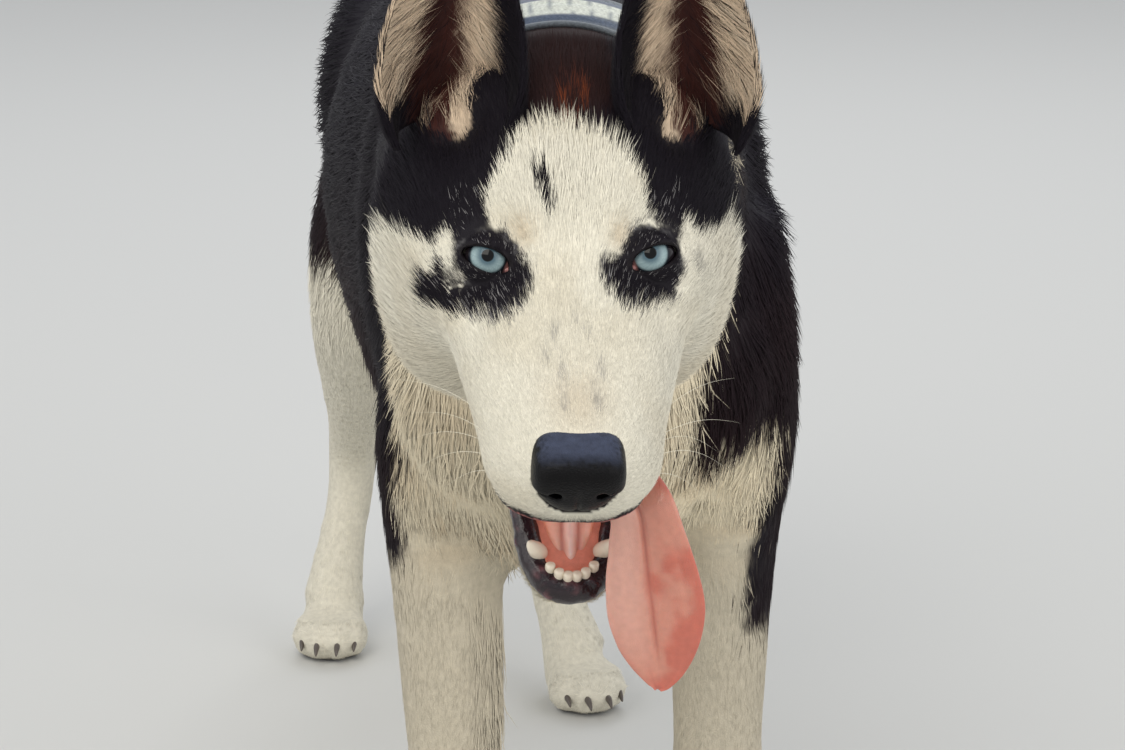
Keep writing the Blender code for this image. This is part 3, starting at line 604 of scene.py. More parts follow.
@dataclass(frozen=True)
class HeadFrame:
    """The head's own frame: millimetres, X to the dog's left, Y forward along the muzzle, Z up."""

    middle: Triple = (-0.038, -0.4685, 0.460)
    turn: float = -2.8
    pitch: float = 35.0
    roll: float = 2.0
    jaw_hinge: tuple[float, float] = (-58.0, -38.0)
    jaw_open: float = 21.0
    jaw_swing: float = -1.9
    chart_centre: Triple = (0.0, -35.0, -30.0)

    def matrix(self) -> Matrix:
        """The frame in the model's, in metres."""
        turn, pitch = math.radians(self.turn), math.radians(self.pitch)
        ahead = Vector((math.sin(turn), -math.cos(turn), 0.0))
        forward = ahead * math.cos(pitch) - Vector((0, 0, 1)) * math.sin(pitch)
        left = Vector((math.cos(turn), math.sin(turn), 0.0))
        up = forward.cross(left)
        if up.z < 0:
            up.negate()
        roll = Matrix.Rotation(math.radians(self.roll), 3, -forward)
        rotation = Matrix((roll @ left, forward, roll @ up)).transposed().to_4x4()
        return Matrix.Translation(self.middle) @ rotation

    def jaw(self) -> Matrix:
        """The turn that opens the lower jaw, in metres in this frame."""
        hinge = Vector((0, *self.jaw_hinge)) * MM
        turn = Matrix.Rotation(math.radians(self.jaw_swing), 4, "Z")
        turn = turn @ Matrix.Rotation(-math.radians(self.jaw_open), 4, "X")
        return Matrix.Translation(hinge) @ turn @ Matrix.Translation(-hinge)

    def local(self, points: Array) -> Array:
        """Model points in this frame, in millimetres."""
        return carried(points, self.matrix().inverted()) / MM

    def local_turn(self, vectors: Array) -> Array:
        """Model directions in this frame."""
        return turned(vectors, self.matrix().inverted())

    def model_turn(self, vectors: Array) -> Array:
        """This frame's directions in the model's."""
        return turned(vectors, self.matrix())

    def jaw_local(self, local: Array) -> Array:
        """This frame's points carried back onto the closed jaw, in millimetres."""
        return carried(local * MM, self.jaw().inverted()) / MM

    def chart(self, local: Array) -> tuple[Array, Array]:
        """Spreads the head out flat as seen from its front.

        Args:
            local: points in this frame, in millimetres.

        Returns:
            Degrees to the side and degrees up from the muzzle's axis.
        """
        ray = local - np.array(self.chart_centre)
        angle = np.degrees(np.arccos(np.clip(ray[:, 1] / np.linalg.norm(ray, axis=1), -1, 1)))
        flat = np.hypot(ray[:, 0], ray[:, 2]) + 1e-9
        return angle * ray[:, 0] / flat, angle * ray[:, 2] / flat


HEAD = HeadFrame()


@dataclass(frozen=True)
class Outline:
    """A closed outline on a flat chart."""

    corners: tuple[tuple[float, float], ...]

    def depth(self, u: Array, w: Array) -> Array:
        """How far places lie inside the outline; outside it is negative.

        Args:
            u: degrees to the side on the chart.
            w: degrees up on the chart.

        Returns:
            Depths in degrees.
        """
        nearest = np.full(len(u), np.inf)
        inside = np.zeros(len(u), bool)
        for (ax, ay), (bx, by) in zip(self.corners, self.corners[1:] + self.corners[:1]):
            ex, ey = bx - ax, by - ay
            t = np.clip(((u - ax) * ex + (w - ay) * ey) / (ex * ex + ey * ey), 0, 1)
            nearest = np.minimum(nearest, np.hypot(u - ax - t * ex, w - ay - t * ey))
            inside ^= ((ay > w) != (by > w)) & (u < ex * (w - ay) / (ey + 1e-12) + ax)
        return np.where(inside, nearest, -nearest)


@dataclass(frozen=True)
class BodyForm:
    """The trunk, neck, legs, tail and paws."""

    voxel: float = 6.0 * MM
    # Trunk: y, middle z, half width, rise to the back, fall to the belly
    trunk: Rows = (
        (-0.324, 0.378, 0.030, 0.030, 0.044),
        (-0.306, 0.380, 0.066, 0.078, 0.100),
        (-0.268, 0.390, 0.090, 0.114, 0.146),
        (-0.215, 0.400, 0.102, 0.140, 0.170),
        (-0.155, 0.408, 0.108, 0.150, 0.178),
        (-0.080, 0.408, 0.115, 0.145, 0.170),
        (0.000, 0.408, 0.119, 0.132, 0.152),
        (0.080, 0.414, 0.113, 0.122, 0.132),
        (0.150, 0.424, 0.102, 0.112, 0.114),
        (0.210, 0.432, 0.094, 0.104, 0.104),
        (0.265, 0.436, 0.085, 0.090, 0.096),
        (0.305, 0.440, 0.066, 0.066, 0.076),
        (0.330, 0.442, 0.028, 0.026, 0.034),
    )
    # The rest: x, y, z, half width, rise or radius in front, fall or radius behind
    neck: Rows = (
        (-0.014, -0.150, 0.430, 0.094, 0.120, 0.130),
        (-0.016, -0.215, 0.442, 0.096, 0.120, 0.122),
        (-0.022, -0.275, 0.456, 0.092, 0.108, 0.104),
        (-0.028, -0.325, 0.468, 0.086, 0.092, 0.094),
        (-0.033, -0.365, 0.474, 0.080, 0.073, 0.086),
        (-0.035, -0.400, 0.476, 0.064, 0.056, 0.072),
    )
    foreleg: Rows = (
        (0.066, -0.205, 0.430, 0.032, 0.070, 0.070),
        (0.070, -0.212, 0.370, 0.038, 0.066, 0.066),
        (0.074, -0.195, 0.315, 0.038, 0.052, 0.056),
        (0.074, -0.180, 0.268, 0.034, 0.040, 0.046),
        (0.073, -0.180, 0.225, 0.0300, 0.0320, 0.035),
        (0.072, -0.184, 0.180, 0.0275, 0.0275, 0.0275),
        (0.071, -0.188, 0.145, 0.0255, 0.0245, 0.0245),
        (0.071, -0.190, 0.118, 0.0260, 0.0250, 0.0250),
        (0.072, -0.196, 0.085, 0.0235, 0.0215, 0.0235),
        (0.073, -0.206, 0.055, 0.0240, 0.0225, 0.0240),
        (0.073, -0.214, 0.035, 0.0250, 0.0220, 0.0230),
    )
    hindleg_left: Rows = (
        (0.036, 0.215, 0.430, 0.045, 0.080, 0.080),
        (0.046, 0.210, 0.370, 0.047, 0.078, 0.080),
        (0.056, 0.200, 0.315, 0.042, 0.062, 0.068),
        (0.058, 0.212, 0.262, 0.034, 0.045, 0.048),
        (0.046, 0.248, 0.212, 0.0265, 0.032, 0.032),
        (0.034, 0.288, 0.170, 0.0210, 0.022, 0.026),
        (0.026, 0.310, 0.138, 0.0195, 0.0200, 0.0220),
        (0.026, 0.306, 0.110, 0.0185, 0.0180, 0.0180),
        (0.032, 0.294, 0.078, 0.0180, 0.0165, 0.0165),
        (0.040, 0.282, 0.050, 0.0205, 0.0190, 0.0200),
        (0.045, 0.274, 0.032, 0.0240, 0.0210, 0.0220),
    )
    hindleg_right: Rows = (
        (-0.062, 0.235, 0.430, 0.045, 0.080, 0.078),
        (-0.076, 0.245, 0.370, 0.047, 0.078, 0.076),
        (-0.090, 0.256, 0.318, 0.042, 0.064, 0.062),
        (-0.097, 0.284, 0.266, 0.034, 0.046, 0.046),
        (-0.097, 0.336, 0.214, 0.0265, 0.032, 0.032),
        (-0.096, 0.392, 0.170, 0.0210, 0.0225, 0.026),
        (-0.096, 0.426, 0.138, 0.0195, 0.0205, 0.0225),
        (-0.098, 0.430, 0.108, 0.0180, 0.0180, 0.0185),
        (-0.104, 0.422, 0.078, 0.0180, 0.0165, 0.0165),
        (-0.110, 0.410, 0.050, 0.0205, 0.0190, 0.0200),
        (-0.113, 0.402, 0.032, 0.0240, 0.0210, 0.0220),
    )
    tail: Rows = (
        (-0.012, 0.270, 0.470, 0.030, 0.030, 0.030),
        (-0.010, 0.322, 0.462, 0.032, 0.030, 0.034),
        (-0.004, 0.368, 0.428, 0.036, 0.034, 0.040),
        (0.006, 0.398, 0.372, 0.041, 0.038, 0.046),
        (0.014, 0.414, 0.308, 0.044, 0.040, 0.050),
        (0.020, 0.428, 0.246, 0.043, 0.038, 0.048),
        (0.026, 0.452, 0.192, 0.037, 0.033, 0.041),
        (0.030, 0.488, 0.156, 0.026, 0.024, 0.028),
        (0.032, 0.522, 0.140, 0.013, 0.012, 0.014),
    )
    # Paws: middle x, y, degrees that the toes turn out, and size
    paws: Rows = (
        (0.074, -0.232, 4.0, 1.06),
        (-0.074, -0.232, -4.0, 1.06),
        (0.048, 0.254, 12.0, 0.98),
        (-0.115, 0.382, -8.0, 0.98),
    )
    # Toes: to the side, forward, radius, degrees of splay
    toes: Rows = (
        (-0.0185, 0.006, 0.0092, 10),
        (-0.0072, 0.017, 0.0098, 3),
        (0.0072, 0.017, 0.0098, -3),
        (0.0185, 0.006, 0.0092, -10),
    )

    def legs(self) -> list[Rows]:
        """The four legs' rows."""
        right = []
        for x, y, z, half, *rest in self.foreleg:
            wide = 0.0035 if 0.13 < z < 0.33 else 0.0
            right.append((wide - x, y, z, half + wide, *rest))
        return [self.foreleg, right, self.hindleg_left, self.hindleg_right]

    def paw(self, x: float, y: float, toe_out: float, size: float) -> list[Form]:
        """The forms of one paw: the heel pad and four toes.

        Args:
            x: its middle to the side.
            y: its middle along the dog.
            toe_out: degrees that it turns out.
            size: its size against a common one.

        Returns:
            Five closed forms.
        """
        turn = math.radians(toe_out)
        ahead = Vector((math.sin(turn), -math.cos(turn), 0))
        left = Vector((math.cos(turn), math.sin(turn), 0))
        heel = Vector((x, y, 0.019)) - ahead * 0.014
        forms = [ball(heel, (0.0235 * size, 0.026 * size, 0.0215), (0, 0, toe_out))]
        for side, forward, radius, splay in self.toes:
            middle = Vector((x, y, 0.0165)) + left * side * size + ahead * forward * size
            forms.append(ball(middle, (radius * size, 0.021 * size, 0.0165), (8, 0, toe_out - splay)))
        return forms

    def build(self) -> Thing:
        """The whole body out to the tips of its coat, with flat soles.

        Returns:
            One closed mesh in the modelling frame.
        """
        forms = [limb([(TRUNK_X, *row) for row in self.trunk], side=(-1, 0, 0))]
        for s in (1, -1):
            forms.append(ball((TRUNK_X + s * 0.062, -0.190, 0.418), (0.046, 0.078, 0.112), (12, 0, 0)))
            forms.append(ball((TRUNK_X + s * 0.050, -0.264, 0.366), (0.046, 0.046, 0.070)))
        forms.append(ball((0.032, 0.222, 0.415), (0.062, 0.096, 0.098), (-14, 0, 0)))
        forms.append(ball((-0.064, 0.232, 0.415), (0.062, 0.096, 0.098), (-10, 0, 0)))
        forms += [limb(self.neck, side=(-1, 0, 0)), limb(self.tail)]
        forms += [limb(rows) for rows in self.legs()]
        for place in self.paws:
            forms += self.paw(*place)
        body = fuse(object_of("body", *forms), self.voxel, 5)
        points = points_of(body)
        points[:, 2] = np.maximum(points[:, 2], FLOOR_LEVEL)
        set_points(body, points)
        return body


BODY = BodyForm()


@dataclass(frozen=True)
class HeadForm:
    """The head with its jaws, lips, lids and ears, in millimetres in the head's frame."""

    voxel: float = 1.6 * MM
    # Sections: forward, half width, top, widest level, bottom, roundness above and below
    skull: Rows = (
        (-122, 24, 16, -24, -50, 2.0, 2.0),
        (-114, 50, 30, -28, -76, 2.0, 2.0),
        (-100, 68, 37.5, -34, -94, 2.1, 2.0),
        (-82, 80, 40, -42, -108, 2.1, 2.1),
        (-62, 84, 38, -50, -120, 2.1, 2.4),
        (-42, 81, 35, -54, -126, 2.1, 2.8),
        (-24, 74, 28, -50, -123, 2.1, 2.9),
        (-8, 65, 18, -36, -104, 2.1, 2.6),
        (8, 55, 8.5, -25, -66, 2.1, 2.3),
        (25, 50, 2.5, -27, -56, 2.1, 2.6),
        (46, 44.5, -0.5, -30, -53.5, 2.1, 3.0),
        (66, 39.5, -2.5, -34, -53, 2.1, 3.0),
        (84, 34.5, -5.0, -36, -51.5, 2.2, 2.8),
        (96, 28.5, -9.0, -36, -49.5, 2.2, 2.5),
        (103, 21.0, -15, -36, -47, 2.1, 2.2),
        (106, 11, -25, -36, -43, 2.0, 2.0),
    )
    lower: Rows = (
        (-62, 22, -52, -66, -84, 2.0, 2.0),
        (-50, 40, -50, -70, -92, 2.0, 2.0),
        (-20, 41, -52, -68, -94, 2.2, 2.0),
        (10, 34, -54, -66, -89, 2.5, 2.0),
        (35, 28, -55.5, -65, -82, 2.8, 2.0),
        (60, 23.5, -57.5, -65, -79, 3.0, 2.0),
        (80, 20.5, -57.5, -65, -77, 3.0, 2.0),
        (93, 16.5, -57.5, -64, -75, 2.8, 2.1),
        (101, 10.5, -58, -63.5, -71.5, 2.4, 2.1),
        (104, 5, -60, -63.5, -67, 2.0, 2.0),
    )
    # Bumps and hollows: side, forward, up, three radii, height
    relief: Rows = (
        (31, 0, 12, 16, 14, 10, -2.5),
        (22, -14, 18, 12, 12, 10, 2.5),
        (0, 2, 14, 9, 22, 12, -3.0),
        (0, -38, 38, 7, 34, 12, -1.5),
        (40, 22, -16, 12, 16, 14, -3.0),
        (58, -20, -18, 14, 22, 12, 3.0),
        (31, 80, -40, 10, 17, 12, 2.6),
        (0, 45, 0, 14, 34, 8, 1.0),
        (50, -58, 24, 13, 12, 14, -8.0),
    )
    # Rims of the lips: side, forward, up, radius; the lower one on the closed jaw
    upper_lip: Rows = (
        (30, 28, -54, 3.4),
        (32, 50, -54, 3.4),
        (31, 72, -54, 3.4),
        (26, 89, -51.5, 3.4),
        (14, 99.5, -48, 3.2),
        (-2, 102.5, -45, 3.0),
    )
    lower_lip: Rows = (
        (25.5, 34, -59, 3.2),
        (21, 62, -59, 3.2),
        (18.5, 80, -59, 3.2),
        (14.5, 94, -59, 3.0),
        (8, 102.5, -59.5, 3.0),
        (-2, 105, -60, 3.0),
    )
    eye_radius: float = 11.0
    eye_centre: Triple = (34.3, -6.0, -3.4)
    eye_skew: float = 1.2
    eye_axis: Triple = (0.17, 0.72, 0.67)
    eye_tilt: float = 20.0
    lid_radius: float = 14.3
    lid_reach: float = 48.0
    lid_half: tuple[float, float] = (11.0, 5.0)
    nose_centre: Triple = (0.0, 96.5, -23.6)
    nose_radii: Triple = (19.6, 14.0, 16.9)
    nose_narrow: float = 0.36
    ear_base: Triple = (48.5, -70.0, 8.0)
    ear_length: float = 112.0
    ear_lean: float = 20.0
    ear_turn: float = 9.0
    # Ears: share of the length, half width, degrees of curl each way, thickness
    ear_rows: Rows = (
        (0.00, 25, 125, 7.0),
        (0.12, 28, 112, 6.5),
        (0.25, 30.5, 94, 6.0),
        (0.40, 30, 76, 5.5),
        (0.55, 26, 62, 5.0),
        (0.70, 20, 55, 4.5),
        (0.84, 13, 50, 4.0),
        (0.94, 7.2, 45, 3.5),
        (1.00, 2.5, 40, 3.0),
    )
    ear_thin: float = 0.55

    def sections(self, rows: Rows, steps: int = 4, around: int = 64) -> Form:
        """A closed form through sections.

        Args:
            rows: the sections.
            steps: how many rings take the place of one section.
            around: how many points a ring has.

        Returns:
            The form in metres in the head's frame.
        """
        rings = []
        turns = np.arange(around) * 2 * math.pi / around
        c, s = np.cos(turns), np.sin(turns)
        for forward, half, top, level, bottom, above, below in spline(rows, steps):
            power = 2 / np.where(s > 0, above, below)
            reach = np.where(s > 0, top - level, level - bottom)
            x = half * np.sign(c) * np.abs(c) ** power
            z = level + reach * np.sign(s) * np.abs(s) ** power
            rings.append(np.stack([x, np.full(around, forward), z], axis=1) * MM)
        return through_rings(rings)

    def eye(self, s: int) -> tuple[Vector, Vector]:
        """The centre of one eye in metres and the way it faces, in the head's frame."""
        x, y, z = self.eye_centre
        ax, ay, az = self.eye_axis
        return Vector((s * x, y, z + s * self.eye_skew)) * MM, Vector((s * ax, ay, az)).normalized()

    def eye_sides(self, s: int) -> tuple[Vector, Vector]:
        """The directions along and across the slit between the lids.

        Args:
            s: 1 for the dog's left, -1 for its right.

        Returns:
            Two unit directions in the head's frame.
        """
        axis = self.eye(s)[1]
        level = Vector((s, 0, 0))
        level = (level - axis * level.dot(axis)).normalized()
        rise = level.cross(axis)
        if rise.z < 0:
            rise.negate()
        tilt = math.radians(self.eye_tilt)
        return level * math.cos(tilt) + rise * math.sin(tilt), rise * math.cos(tilt) - level * math.sin(tilt)

    def relieve(self, head: Thing) -> None:
        """Presses the bumps and hollows of the face into the head and rounds the lids.

        Args:
            head: the head, in its own frame.
        """
        points, normals = points_of(head), normals_of(head)
        for side, forward, up, rx, ry, rz, height in self.relief:
            for s in (1, -1) if side else (1,):
                away = (points / MM - (s * side, forward, up)) / (rx, ry, rz)
                points = points + normals * (height * MM * np.exp(-(away**2).sum(axis=1)))[:, None]
        reach = math.radians(self.lid_reach)
        for s in (1, -1):
            centre, axis = (np.array(v) for v in self.eye(s))
            away = points - centre
            distance = np.linalg.norm(away, axis=1)
            turn = np.arccos(np.clip(away @ axis / distance, -1, 1))
            share = step_up(-turn, -reach * 1.7, -reach) * (distance < 2.2 * self.eye_radius * MM)
            points = centre + away * (1 + (self.lid_radius * MM / distance - 1) * share)[:, None]
        set_points(head, points)

    def slit(self, s: int) -> Thing:
        """The almond between the lids, as a prism to cut with.

        Args:
            s: 1 for the dog's left, -1 for its right.

        Returns:
            The closed prism in the head's frame.
        """
        axis = self.eye(s)[1]
        rings = [[self.rim(s, k / 48) + axis * (depth * MM) for k in range(48)] for depth in (-9.0, 20.0)]
        return object_of("slit", through_rings(rings))

    def rim(self, s: int, share: float) -> Vector:
        """A place on the edge of the lids, from the outer corner round over the upper lid.

        Args:
            s: 1 for the dog's left, -1 for its right.
            share: how far round the edge it lies, from 0 to 1.

        Returns:
            The place in metres in the head's frame.
        """
        centre, axis = self.eye(s)
        side, up = self.eye_sides(s)
        turn = 2 * math.pi * share
        c, q = math.cos(turn), math.sin(turn)
        high = self.lid_half[1] * q * (1 - 0.12 * c) * (1.42 if q > 0 else 0.9)
        high -= 1.0
        along = self.lid_half[0] * c + 0.4
        out = math.sqrt(max(1.0, 12.3**2 - along**2 - high**2))
        return centre + (axis * out + side * along + up * high) * MM

    def nose_zone(self, local: Array) -> Array:
        """How far out places lie from the middle of the nose, where 1 is its edge."""
        away = (local - np.array(self.nose_centre)) / np.array(self.nose_radii)
        away[:, 0] /= 1 - self.nose_narrow * np.clip(-away[:, 2], 0, 1)
        return (np.abs(away) ** 2.8).sum(axis=1)

    def build(self) -> Thing:
        """The head and the open lower jaw out to the tips of their coat.

        Returns:
            One closed mesh in the head's frame, with no eye sockets yet.
        """
        jaw = self.sections(self.lower)
        bmesh.ops.transform(jaw, matrix=HEAD.jaw(), verts=jaw.verts)
        forms = [self.sections(self.skull), jaw]
        for s in (1, -1):
            forms.append(ball(Vector((s * 30, 10, -69)) * MM, (8 * MM, 24 * MM, 13 * MM), (-12, 0, 0)))
            for rows, turn in ((self.upper_lip, Matrix()), (self.lower_lip, HEAD.jaw())):
                lip = round_limb(mirrored(rows, s), around=12)
                bmesh.ops.transform(lip, matrix=turn, verts=lip.verts)
                forms.append(lip)
        head = fuse(object_of("head_form", *forms), self.voxel, 6)
        self.relieve(head)
        return soften(head, 3)

    def ear_place(self, s: int) -> Matrix:
        """Where one ear's own frame lies in the head's."""
        turn = Matrix.Rotation(-math.radians(self.ear_turn), 4, "Z")
        lean = Matrix.Rotation(math.radians(self.ear_lean), 4, "X")
        base = Matrix.Translation(Vector(self.ear_base) * MM)
        return Matrix.Diagonal((s, 1, 1, 1)) @ base @ lean @ turn @ Matrix.Translation((0, -14 * MM, 0))

    def ear(self, s: int) -> Thing:
        """One ear: a thin curled, pointed sheet whose cup opens forward.

        Args:
            s: 1 for the dog's left, -1 for its right.

        Returns:
            The closed ear in the head's frame.
        """
        across = 25
        rings = []
        for share, half, curl, thick in spline(self.ear_rows, 5):
            curl = math.radians(curl)
            radius = half / math.sin(min(curl, math.pi / 2))
            ring = []
            for side in (1, -1):
                for k in range(across):
                    place = 2 * k / (across - 1) - 1
                    edge = 0.35 + 0.65 * math.sqrt(max(0.0, 1 - place * place))
                    radial = radius + side * thick * self.ear_thin * edge / 2
                    turn = side * curl * place
                    x, y = radial * math.sin(turn), radius - radial * math.cos(turn)
                    ring.append(Vector((x, y, share * self.ear_length)) * MM)
            rings.append(ring)
        form = through_rings(rings)
        bmesh.ops.transform(form, matrix=self.ear_place(s), verts=form.verts)
        return object_of("ear_form", outward(form))

    def ear_spots(self, local: Array) -> tuple[Array, Array, Array]:
        """Where places lie on the ears.

        Args:
            local: places in the head's frame, in millimetres.

        Returns:
            The share of the ear's length, the place across it from -1 at the edge near the crown
            to 1 at the outer edge, and true inside the cup.
        """
        own = (np.abs(local * (1, 0, 0)) + local * (0, 1, 1)) * MM
        own = carried(own, self.ear_place(1).inverted()) / MM
        rows = spline(self.ear_rows, 8)
        share = np.clip(own[:, 2] / self.ear_length, 0, 1)
        half, curl = (np.interp(share, rows[:, 0], rows[:, k]) for k in (1, 2))
        curl = np.radians(curl)
        radius = half / np.sin(np.minimum(curl, math.pi / 2))
        across = np.arctan2(own[:, 0], radius - own[:, 1]) / curl
        return share, across, np.hypot(own[:, 0], radius - own[:, 1]) < radius


FACE = HeadForm()


class Markings:
    """The black, white and brown of the coat, as functions of place."""

    white_face = Outline(
        (
            (-100, -30), (-100, -3), (-92, 8), (-81, 18), (-73, 24), (-66, 27), (-55, 33), (-43, 49),
            (-45, 55), (-46, 61), (-45, 68), (-41, 77), (-38, 83), (-33, 91), (-24, 98), (-6, 103),
            (5, 101), (18, 96), (26, 92), (32, 87), (36, 82), (40, 75), (42, 70), (41, 60), (44, 54),
            (50, 47), (58, 39), (69, 32), (78, 26), (93, 17), (97, 2), (99, -17), (97, -34),
            (88, -60), (62, -100), (40, -140), (-40, -140), (-62, -100), (-90, -60),
        )
    )
    patch_right = Outline(
        (
            (-43, 50), (-35, 50), (-28, 45), (-24, 40), (-18, 38), (-15, 32), (-16, 27), (-21, 21),
            (-31, 16), (-42, 13), (-46, 18), (-46, 24), (-52, 25), (-55, 30), (-56, 36), (-50, 43),
        )
    )
    smoke_right = Outline(
        (
            (-42, 20), (-42, 12), (-54, 5), (-64, -3), (-66, 6), (-63, 15), (-57, 18), (-62, 27),
            (-59, 28), (-54, 17),
        )
    )
    patch_left = Outline(
        (
            (37, 53), (31, 51), (27, 47), (25, 43), (19, 40), (14, 41), (12, 36), (13, 30), (15, 27),
            (19, 24), (27, 22), (35, 19), (43, 18), (50, 23), (52, 30), (55, 36), (57, 42), (50, 48),
        )
    )
    spot = Outline(((-22, 80), (-17, 80), (-12, 70), (-10, 63), (-13, 62), (-18, 70)))
    ear_mouth = Outline(
        (
            (60, 114), (68, 101), (75, 89), (82, 78), (90, 68), (100, 60), (118, 58), (118, 95),
            (95, 128), (62, 128),
        )
    )
    white_dots: Rows = ((-60.5, 31.5, 4.2, 6.5), (61.5, 36.5, 4.4, 7.0))
    freckles: Rows = ((-6, 21), (4, 21), (-3.5, 16), (6, 16), (-3, 13), (4, 13), (-8, 17), (0.5, 24))
    # Share of the ear's length and the place across it where the black begins at either edge
    ear_crown_edge: Rows = ((0.0, -0.05), (0.12, -0.30), (0.32, -0.66), (0.5, -0.78), (1.0, -0.80))
    ear_outer_edge: Rows = ((0.0, 0.3), (0.07, 0.7), (0.15, 1.3))
    # Edges of the body's black: the flank's height along the dog, then places for a height
    flank_edge: Rows = (
        (-0.30, 0.330), (-0.16, 0.310), (0.0, 0.300), (0.10, 0.312), (0.20, 0.318), (0.31, 0.314),
    )
    front_edge: Rows = (
        (0.20, -0.195), (0.24, -0.200), (0.28, -0.207), (0.302, -0.224), (0.34, -0.235),
        (0.38, -0.258), (0.40, -0.246), (0.46, -0.270), (0.50, -0.330), (0.55, -0.420),
    )
    chest_edge: Rows = (
        (0.32, 0.044), (0.357, 0.039), (0.376, 0.044), (0.389, 0.050), (0.422, 0.060), (0.473, 0.056),
        (0.52, 0.05),
    )
    stripe_edge: Rows = ((0.200, 0.085), (0.222, 0.077), (0.243, 0.079), (0.282, 0.085), (0.323, 0.094))
    nape_edge: Rows = ((-0.42, 0.470), (-0.30, 0.500))

    def __init__(self) -> None:
        """Sets the noise that breaks up every edge."""
        self.noise = Noise(3)

    def head(self, points: Array) -> Array:
        """The coat's colour on the head.

        Args:
            points: places in the modelling frame.

        Returns:
            Light values, one row for each place.
        """
        local = HEAD.local(points)
        u, w = HEAD.chart(local)
        fuzz = self.noise.at(points, 0.004) + 0.6 * self.noise.at(points, 0.0015)
        colour = all_over(Tone.BLACK.light, points)
        crown = step_up(w, 96, 108) * step_up(-np.abs(u), -44, -26) * step_up(local[:, 2], 15, 25)
        colour = blend(colour, Tone.BROWN.light, crown)
        rust = step_up(w, 100, 104) * step_up(-w, -122, -108) * step_up(-np.abs(u - 4), -16, -5)
        colour = blend(colour, Tone.RUST.light, rust * step_up(fuzz, -0.1, 0.9))
        white = step_up(self.white_face.depth(u, w) + 1.6 * fuzz, -1.6, 1.6)
        warm = Tone.WHITE.light + (Tone.CREAM.light - Tone.WHITE.light) * 0.35
        base = all_over(Tone.WHITE.light, points)
        base = blend(base, warm, step_up(self.noise.at(points, 0.02), -0.2, 0.8))
        tan = hump((np.abs(u), 25, 6), (w, 51, 6)) * 0.5
        tan += hump((u, 0, 7), (w, 13, 3.0)) * 0.35
        base = blend(base, Tone.WARM.light, np.clip(tan, 0, 1))
        base = blend(base, Tone.CREAM.light, 0.45 * step_up(-w, 25, 60))
        for s, outline in ((-1, self.patch_right), (1, self.patch_left)):
            share = step_up(outline.depth(u, w) + 1.8 * fuzz, -1.4, 1.4)
            base = blend(base, Tone.BLACK.light, share)
            rim = step_up(outline.depth(u, w), 0.5, 4.5)
            base = blend(base, Tone.GREY.light, share * (1 - rim) * step_up(fuzz, 0.2, 0.9) * 0.7)
        grain = self.noise.at(points, 0.0007)
        smoke = step_up(self.smoke_right.depth(u, w) + 2.0 * fuzz, -3.0, 1.0)
        base = blend(base, Tone.BLACK.light, step_up(smoke * (1.5 + 0.9 * grain), 0.5, 0.8))
        veil = hump((u, -51, 6), (w, 20, 6))
        base = blend(base, Tone.BLACK.light, 0.85 * step_up(veil * (1.1 + 0.9 * grain), 0.3, 0.8))
        line = hump((u, 60, 2.0), (w, 24, 7))
        base = blend(base, Tone.SLATE.light, line * 0.55)
        colour = blend(colour, base, white)
        for mark_u, mark_w, across, high in self.white_dots:
            away = np.hypot((u - mark_u) / across, (w - mark_w) / high)
            colour = blend(colour, Tone.WHITE.light, step_up(-away + 0.25 * fuzz, -1.25, -0.75))
        colour = blend(colour, Tone.BLACK.light, step_up(self.spot.depth(u, w) + 1.0 * fuzz, -2.0, 0.2))
        for mark_u, mark_w in self.freckles:
            away = np.hypot(u - mark_u, w - mark_w)
            colour = blend(colour, Tone.GREY.light, step_up(-away + 0.4 * fuzz, -1.3, -0.4) * 0.5)
        side, forward, up = local.T
        mouth = step_up(self.ear_mouth.depth(np.abs(u), w) + 3.0 * fuzz, -2.0, 2.0)
        mouth = mouth * step_up(-np.abs(side), -66, -62)
        lane = hump((np.abs(side), 55, 8)) + 0.35 * fuzz
        inside = blend(all_over(Tone.EAR_CREAM.light, points), Tone.EAR_BROWN.light, step_up(lane, 0.3, 0.8))
        colour = blend(colour, inside, mouth)
        near_mouth = hump((forward, 99, 10), (up, -49, 7), (side, 0, 19))
        return blend(colour, Tone.LIP.light, np.clip(near_mouth * (1.1 + fuzz), 0, 1) * 0.85)

    def ear(self, points: Array) -> Array:
        """The coat's colour on the ears: black behind, pale at both edges inside and brown between.

        Args:
            points: places in the modelling frame.

        Returns:
            Light values, one row for each place.
        """
        share, across, inner = FACE.ear_spots(HEAD.local(points))
        fuzz = self.noise.at(points, 0.006) + 0.6 * self.noise.at(points, 0.002)
        colour = all_over(Tone.EAR_CREAM.light, points)
        colour = blend(colour, Tone.WHITE.light, 0.3 * step_up(fuzz, 0.0, 0.9))
        lane = hump((across, 0.26, 0.44)) + 0.22 * fuzz
        colour = blend(colour, Tone.EAR_BROWN.light, step_up(lane, 0.25, 0.75))
        colour = blend(colour, Tone.BROWN.light, 0.6 * step_up(lane, 0.8, 1.1))
        rim = step_up(read_off(share, self.ear_crown_edge) - across + 0.06 * fuzz, -0.05, 0.07)
        outer = across - read_off(share, self.ear_outer_edge) + 0.06 * fuzz
        rim = np.maximum(rim, step_up(outer, -0.05, 0.07))
        colour = blend(colour, Tone.BLACK.light, rim)
        return np.where(inner[:, None], colour, Tone.BLACK.light)

